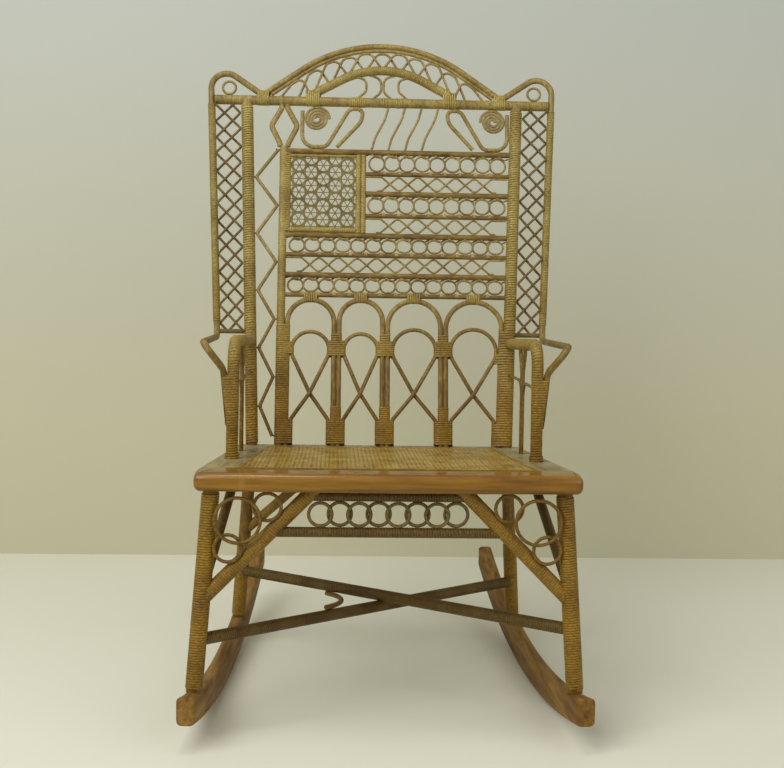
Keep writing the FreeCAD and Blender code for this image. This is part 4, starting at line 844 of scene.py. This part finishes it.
cell = seatCane["cell"]
columns = 2 * int(seatCane["frontHalf"] / cell) + 3
rowCount = int((seatCane["rearY"] - seatCane["frontY"]) / cell) + 2
halfSpan = (columns - 1) / 2 * cell
strips = []
for sign in (-1, 1):
    strip = wovenStrip(rowCount, sign < 0)
    start = (sign * seatCane["pair"] - halfSpan, seatCane["frontY"] + cell / 4, 0)
    applyPlace(strip, Matrix.Translation(start))
    repeatAcross(strip, columns, (cell, 0, 0))
    strips.append(strip)
    strip = wovenStrip(columns, sign > 0)
    turn = Matrix.Rotation(math.radians(-90), 4, "Z")
    start = (-halfSpan, seatCane["frontY"] + cell / 4 + sign * seatCane["pair"], 0)
    applyPlace(strip, Matrix.Translation(start) @ turn)
    repeatAcross(strip, rowCount, (0, cell, 0))
    strips.append(strip)
middleRow = seatCane["frontY"] + cell / 4 + (rowCount // 2) * cell
slants = 2 * int((seatCane["frontHalf"] + seatCane["slantReach"]) / cell) + 2
for angle, height in zip((45, -45), seatCane["slantHeights"]):
    strip = flatStrip(seatCane["slantLength"], seatCane["slantWidth"], seatCane["slantThickness"], height)
    turn = Matrix.Rotation(math.radians(angle), 4, "Z")
    applyPlace(strip, Matrix.Translation((-(slants - 1) / 2 * cell, middleRow, 0)) @ turn)
    repeatAcross(strip, slants, (cell, 0, 0))
    strips.append(strip)
taper = (seatCane["frontHalf"] - seatCane["rearHalf"]) / (seatCane["rearY"] - seatCane["frontY"])
for strip in strips:
    cutBy(strip, (0, seatCane["frontY"], 0), (0, -1, 0))
    cutBy(strip, (0, seatCane["rearY"], 0), (0, 1, 0))
    for sign in (-1, 1):
        cutBy(strip, (sign * seatCane["frontHalf"], seatCane["frontY"], 0), (sign, taper, 0))
weave = joinPieces(strips)
applyPlace(weave, seatPlace)
settle(weave, "seat_weave", wovenCane, ("seat_cane",))
print("seat woven,", len(weave.data.polygons), "faces")

# star caning of the square: flat rings in staggered columns, thin strands through their middles
star = {
    "pitch": 0.0250,
    "ring": 0.0119,
    "ringRod": 0.0016,
    "flatness": 0.4,
    "segments": (24, 6),
    "columns": 3,
    "rows": 3,
    "width": 0.0017,
    "thickness": 0.0005,
    "layer": 0.0004,
    "length": 0.24,
    "left": -0.1623,
    "right": -0.0465,
    "low": 0.3898,
    "high": 0.5184,
}
halfX = (star["right"] - star["left"]) / 2
halfV = (star["high"] - star["low"]) / 2


def cutToSquare(piece):
    for sign in (-1, 1):
        cutBy(piece, (sign * halfX, 0, 0), (sign, 0, 0))
        cutBy(piece, (0, sign * halfV, 0), (0, sign, 0))


spacing = star["pitch"] / 2
count = 2 * int(math.hypot(halfX, halfV) / spacing) + 1
net = []
for i, angle in enumerate((90, 30, -30)):
    strip = flatStrip(star["length"], star["width"], star["thickness"], (i - 1) * star["layer"])
    applyPlace(strip, Matrix.Translation((-(count - 1) / 2 * spacing, 0, 0)))
    repeatAcross(strip, count, (spacing, 0, 0))
    applyPlace(strip, Matrix.Rotation(math.radians(angle), 4, "Z"))
    cutToSquare(strip)
    net.append(strip)
columnStep = star["pitch"] * math.sin(math.radians(60))
outer = star["ring"] + star["ringRod"]
for column in range(-star["columns"], star["columns"] + 1):
    for row in range(-star["rows"], star["rows"] + 1):
        x = column * columnStep
        v = (row + 0.5 * (column % 2)) * star["pitch"]
        if abs(x) - outer > halfX or abs(v) - outer > halfV:
            continue
        dropSelection()
        bpy.ops.mesh.primitive_torus_add(major_radius=star["ring"], minor_radius=star["ringRod"],
                                         major_segments=star["segments"][0],
                                         minor_segments=star["segments"][1])
        ring = bpy.context.active_object
        bpy.ops.object.mode_set(mode="EDIT")
        bpy.ops.mesh.select_all(action="SELECT")
        bpy.ops.transform.resize(value=(1, 1, star["flatness"]), center_override=(0, 0, 0))
        bpy.ops.mesh.faces_shade_smooth()
        bpy.ops.transform.translate(value=(x, v, 0))
        bpy.ops.object.mode_set(mode="OBJECT")
        if abs(x) + outer > halfX or abs(v) + outer > halfV:
            cutToSquare(ring)
        net.append(ring)
caning = joinPieces(net)
stand = Matrix.Rotation(math.radians(90), 4, "X")
middle = Matrix.Translation(((star["left"] + star["right"]) / 2, 0, (star["low"] + star["high"]) / 2))
applyPlace(caning, backPlace @ middle @ stand)
settle(caning, "star_weave", starReed, ("canton_caning",))
print("square woven")

# rockers: a rounded section swung round the centre of the curve, cut off plumb at the ends
rocker = {
    "radius": 1.500,
    "height": 0.040,
    "width": 0.026,
    "round": 0.007,
    "length": 0.820,
    "frontHalf": 0.280,
    "rearHalf": 0.228,
    "restY": -0.0586,
    "steps": 60,
    "swing": 40.0,
    "endRound": 0.0022,
}
toe = math.atan2(rocker["frontHalf"] - rocker["rearHalf"], rocker["length"])
rockerMiddle = (rocker["frontHalf"] + rocker["rearHalf"]) / 2
for hand, sign in sides.items():
    dropSelection()
    bpy.ops.mesh.primitive_plane_add(size=1.0, rotation=(math.pi / 2, 0, 0))
    plank = bpy.context.active_object
    bpy.ops.object.transform_apply(location=True, rotation=True, scale=True)
    bpy.ops.object.mode_set(mode="EDIT")
    bpy.ops.mesh.select_all(action="SELECT")
    bpy.ops.transform.resize(value=(rocker["width"], 1, rocker["height"]), center_override=(0, 0, 0))
    bpy.ops.mesh.bevel(offset=rocker["round"], segments=4, affect="VERTICES")
    bpy.ops.mesh.select_all(action="SELECT")
    bpy.ops.transform.translate(value=(0, 0, rocker["height"] / 2 - rocker["radius"]))
    bpy.ops.transform.rotate(value=math.radians(rocker["swing"] / 2), orient_axis="X",
                             center_override=(0, 0, 0))
    bpy.ops.mesh.delete(type="ONLY_FACE")
    bpy.ops.object.mode_set(mode="OBJECT")
    swing = plank.modifiers.new("swing", "SCREW")
    swing.axis = "X"
    swing.angle = math.radians(rocker["swing"])
    swing.steps = rocker["steps"]
    swing.render_steps = rocker["steps"]
    swing.use_normal_calculate = True
    bpy.ops.object.modifier_apply(modifier="swing")
    restAlong = rocker["restY"] / math.cos(toe)
    applyPlace(plank, Matrix.Translation((0, restAlong, rocker["radius"])))
    bpy.ops.object.mode_set(mode="EDIT")
    bpy.ops.mesh.select_all(action="SELECT")
    bpy.ops.mesh.fill_holes(sides=0)
    bpy.ops.object.mode_set(mode="OBJECT")
    endAlong = rocker["length"] / 2 / math.cos(toe)
    cutBy(plank, (0, -endAlong, 0), (0, -1, 0))
    cutBy(plank, (0, endAlong, 0), (0, 1, 0))
    pickFrom(plank, "FACE", lambda face: abs(face.normal.y) > 0.9)
    bpy.ops.mesh.region_to_loop()
    bpy.ops.mesh.bevel(offset=rocker["endRound"], segments=2, affect="EDGES")
    closeEdit()
    bpy.ops.object.shade_smooth_by_angle(angle=sharpEdge)
    turn = Matrix.Rotation(toe * sign, 4, "Z")
    applyPlace(plank, Matrix.Translation((sign * rockerMiddle, 0, 0)) @ turn)
    settle(plank, "rocker_curve_" + hand, rockerWood, ("rocker_" + hand,))
print("rockers swung")

# seat front: bowed plank with round corners and a round nose
seatFront = {
    "half": 0.275,
    "rearHalf": 0.2701,
    "depth": 0.070,
    "bow": 0.008,
    "thickness": 0.027,
    "nose": 0.0105,
    "corner": 0.007,
    "parts": 24,
}
dropSelection()
bpy.ops.mesh.primitive_grid_add(x_subdivisions=seatFront["parts"], y_subdivisions=1, size=1.0)
plank = bpy.context.active_object
for vertex in plank.data.vertices:
    share = 2 * vertex.co.x
    atFront = vertex.co.y < 0
    vertex.co.x = share * (seatFront["half"] if atFront else seatFront["rearHalf"])
    vertex.co.y = -seatFront["bow"] * (1 - share * share) if atFront else seatFront["depth"]
bpy.ops.object.mode_set(mode="EDIT")
bpy.ops.mesh.select_all(action="SELECT")
bpy.ops.mesh.extrude_region_move(TRANSFORM_OT_translate={"value": (0, 0, -seatFront["thickness"])})
closeEdit()


def endsOf(edge):
    return [plank.data.vertices[i].co for i in edge.vertices]


def frontCorner(edge):  # upright edge at the left or right front corner
    a, b = endsOf(edge)
    upright = abs(a.z - b.z) > seatFront["thickness"] / 2
    return upright and abs(a.x) > seatFront["half"] - 0.001 and a.y < 0.01


def frontRim(edge):  # level edge along the nose, above or below
    a, b = endsOf(edge)
    return abs(a.z - b.z) < 0.001 and max(a.y, b.y) < seatFront["depth"] - 0.01


pickFrom(plank, "EDGE", frontCorner)
bpy.ops.mesh.bevel(offset=seatFront["corner"], segments=3, affect="EDGES")
pickFrom(plank, "EDGE", frontRim)
bpy.ops.mesh.bevel(offset=seatFront["nose"], segments=6, affect="EDGES")
closeEdit()
bpy.ops.object.shade_smooth_by_angle(angle=sharpEdge)
applyPlace(plank, seatPlace)
settle(plank, "seat_front_nose", frontRailWood, ("seat_front_rail",))
print("seat front rounded")

# finishes of the nodes that stay as they are
nodeFinishes = {
    "rocker_left": rockerWood,
    "rocker_right": rockerWood,
    "rocker_pins": windingShadeDark,
    "panel_rails": panelReed,
    "canton_caning": starReed,
    # apron rings and wing lattices take the darker lattice reed, partly painted shade
    "apron_rings": latticeReed,
    "wing_lattice_left": latticeReed,
    "wing_lattice_right": latticeReed,
    "seat_dowels": dowelWood,
    "seat_front_rail": frontRailWood,
    "seat_left_rail": sideRailWood,
    "seat_right_rail": sideRailWood,
    "seat_rear_rail": sideRailWood,
    "cane_spline": windingLevel,
    "seat_cane": wovenCane,
    "top_rail": rattanPole,
}
poles = ("front_leg", "rear_leg", "back_post", "arm_left", "arm_right", "wing_rod", "arcade_arches")
for name, node in nodes.items():
    finish = nodeFinishes.get(name, roundReed)
    if name.startswith(poles):
        finish = rattanPole
    node.data.materials.clear()
    node.data.materials.append(finish)

# stage: pale floor and a wall close behind, soft light, camera as in the photograph
stage = {
    "wallY": 0.82,
    "size": 9.0,
    "aim": (0, -0.2, 0.5),
    "floorTone": tone(224, 222, 204),
    "wallTone": tone(191, 187, 159),
    "wallTopTone": tone(180, 183, 176),
    "key": {"at": (-2.0, -2.3, 2.7), "size": 2.4, "power": 84.0},
    "fill": {"at": (2.4, -2.2, 1.8), "size": 2.4, "power": 22.0},
    "window": {"at": (-0.40, -0.62, 2.2), "size": 0.55, "power": 6.5},
    "worldTone": tone(206, 207, 203),
    "worldStrength": 0.75,
}
for name, place, turn in (("floor", (0, stage["wallY"] - stage["size"] / 2, 0), (0, 0, 0)),
                          ("wall", (0, stage["wallY"], stage["size"] / 2), (math.pi / 2, 0, 0))):
    dropSelection()
    bpy.ops.mesh.primitive_plane_add(size=stage["size"], location=place, rotation=turn)
    ground = bpy.context.active_object
    ground.name = "studio_" + name
    bpy.ops.object.transform_apply(location=True, rotation=True, scale=True)
    paint, tree, shader, where = startFinish("studio " + name)
    shader.inputs["Base Color"].default_value = stage[name + "Tone"]
    shader.inputs["Roughness"].default_value = 0.7
    if name == "wall":
        # painted light: the wall turns from yellower low down to greyer at the top, standing for how the
        # light falls on it
        climb = addRange(tree, addHeight(tree, where), 0.3, 1.3)
        colour = addMix(tree, climb, stage["wallTone"], stage["wallTopTone"])
        tree.links.new(colour, shader.inputs["Base Color"])
        facing = tree.nodes.new("ShaderNodeNewGeometry")  # the wall is open when seen from its rear
        clear = tree.nodes.new("ShaderNodeBsdfTransparent")
        either = tree.nodes.new("ShaderNodeMixShader")
        tree.links.new(facing.outputs["Backfacing"], either.inputs["Fac"])
        tree.links.new(shader.outputs["BSDF"], either.inputs[1])
        tree.links.new(clear.outputs["BSDF"], either.inputs[2])
        tree.links.new(either.outputs["Shader"], tree.nodes["Material Output"].inputs["Surface"])
    ground.data.materials.append(paint)

for name in ("key", "fill", "window"):
    lamp = stage[name]
    bpy.ops.object.light_add(type="AREA", location=lamp["at"])
    light = bpy.context.active_object
    light.name = name + "_light"
    light.data.size = lamp["size"]
    light.data.energy = lamp["power"]
    aim = Vector(stage["aim"]) - Vector(lamp["at"])
    light.rotation_euler = aim.to_track_quat("-Z", "Y").to_euler()
world = bpy.data.worlds.new("studio")
world.use_nodes = True
world.node_tree.nodes["Background"].inputs["Color"].default_value = stage["worldTone"]
world.node_tree.nodes["Background"].inputs["Strength"].default_value = stage["worldStrength"]
bpy.context.scene.world = world
bpy.context.scene.view_settings.view_transform = "Standard"

shot = {
    "at": (-0.0780, -2.1864, 0.6939),
    "yaw": 2.48,
    "pitch": 5.5,
    "roll": 0.99,
    "focalPixels": 1312.6,
    "imageWidth": 784,
    "sensor": 36.0,
}
yaw, pitch, roll = (math.radians(shot[k]) for k in ("yaw", "pitch", "roll"))
ahead = Vector((math.sin(yaw) * math.cos(pitch), math.cos(yaw) * math.cos(pitch), -math.sin(pitch)))
right = Vector((math.cos(yaw), -math.sin(yaw), 0))
up = right.cross(ahead)
rolledRight = math.cos(roll) * right + math.sin(roll) * up
rolledUp = -math.sin(roll) * right + math.cos(roll) * up
bpy.ops.object.camera_add(location=shot["at"])
camera = bpy.context.active_object
camera.rotation_mode = "QUATERNION"
camera.rotation_quaternion = Matrix((rolledRight, rolledUp, -ahead)).transposed().to_quaternion()
camera.data.sensor_width = shot["sensor"]
camera.data.lens = shot["focalPixels"] * shot["sensor"] / shot["imageWidth"]
bpy.context.scene.camera = camera
print("stage set")
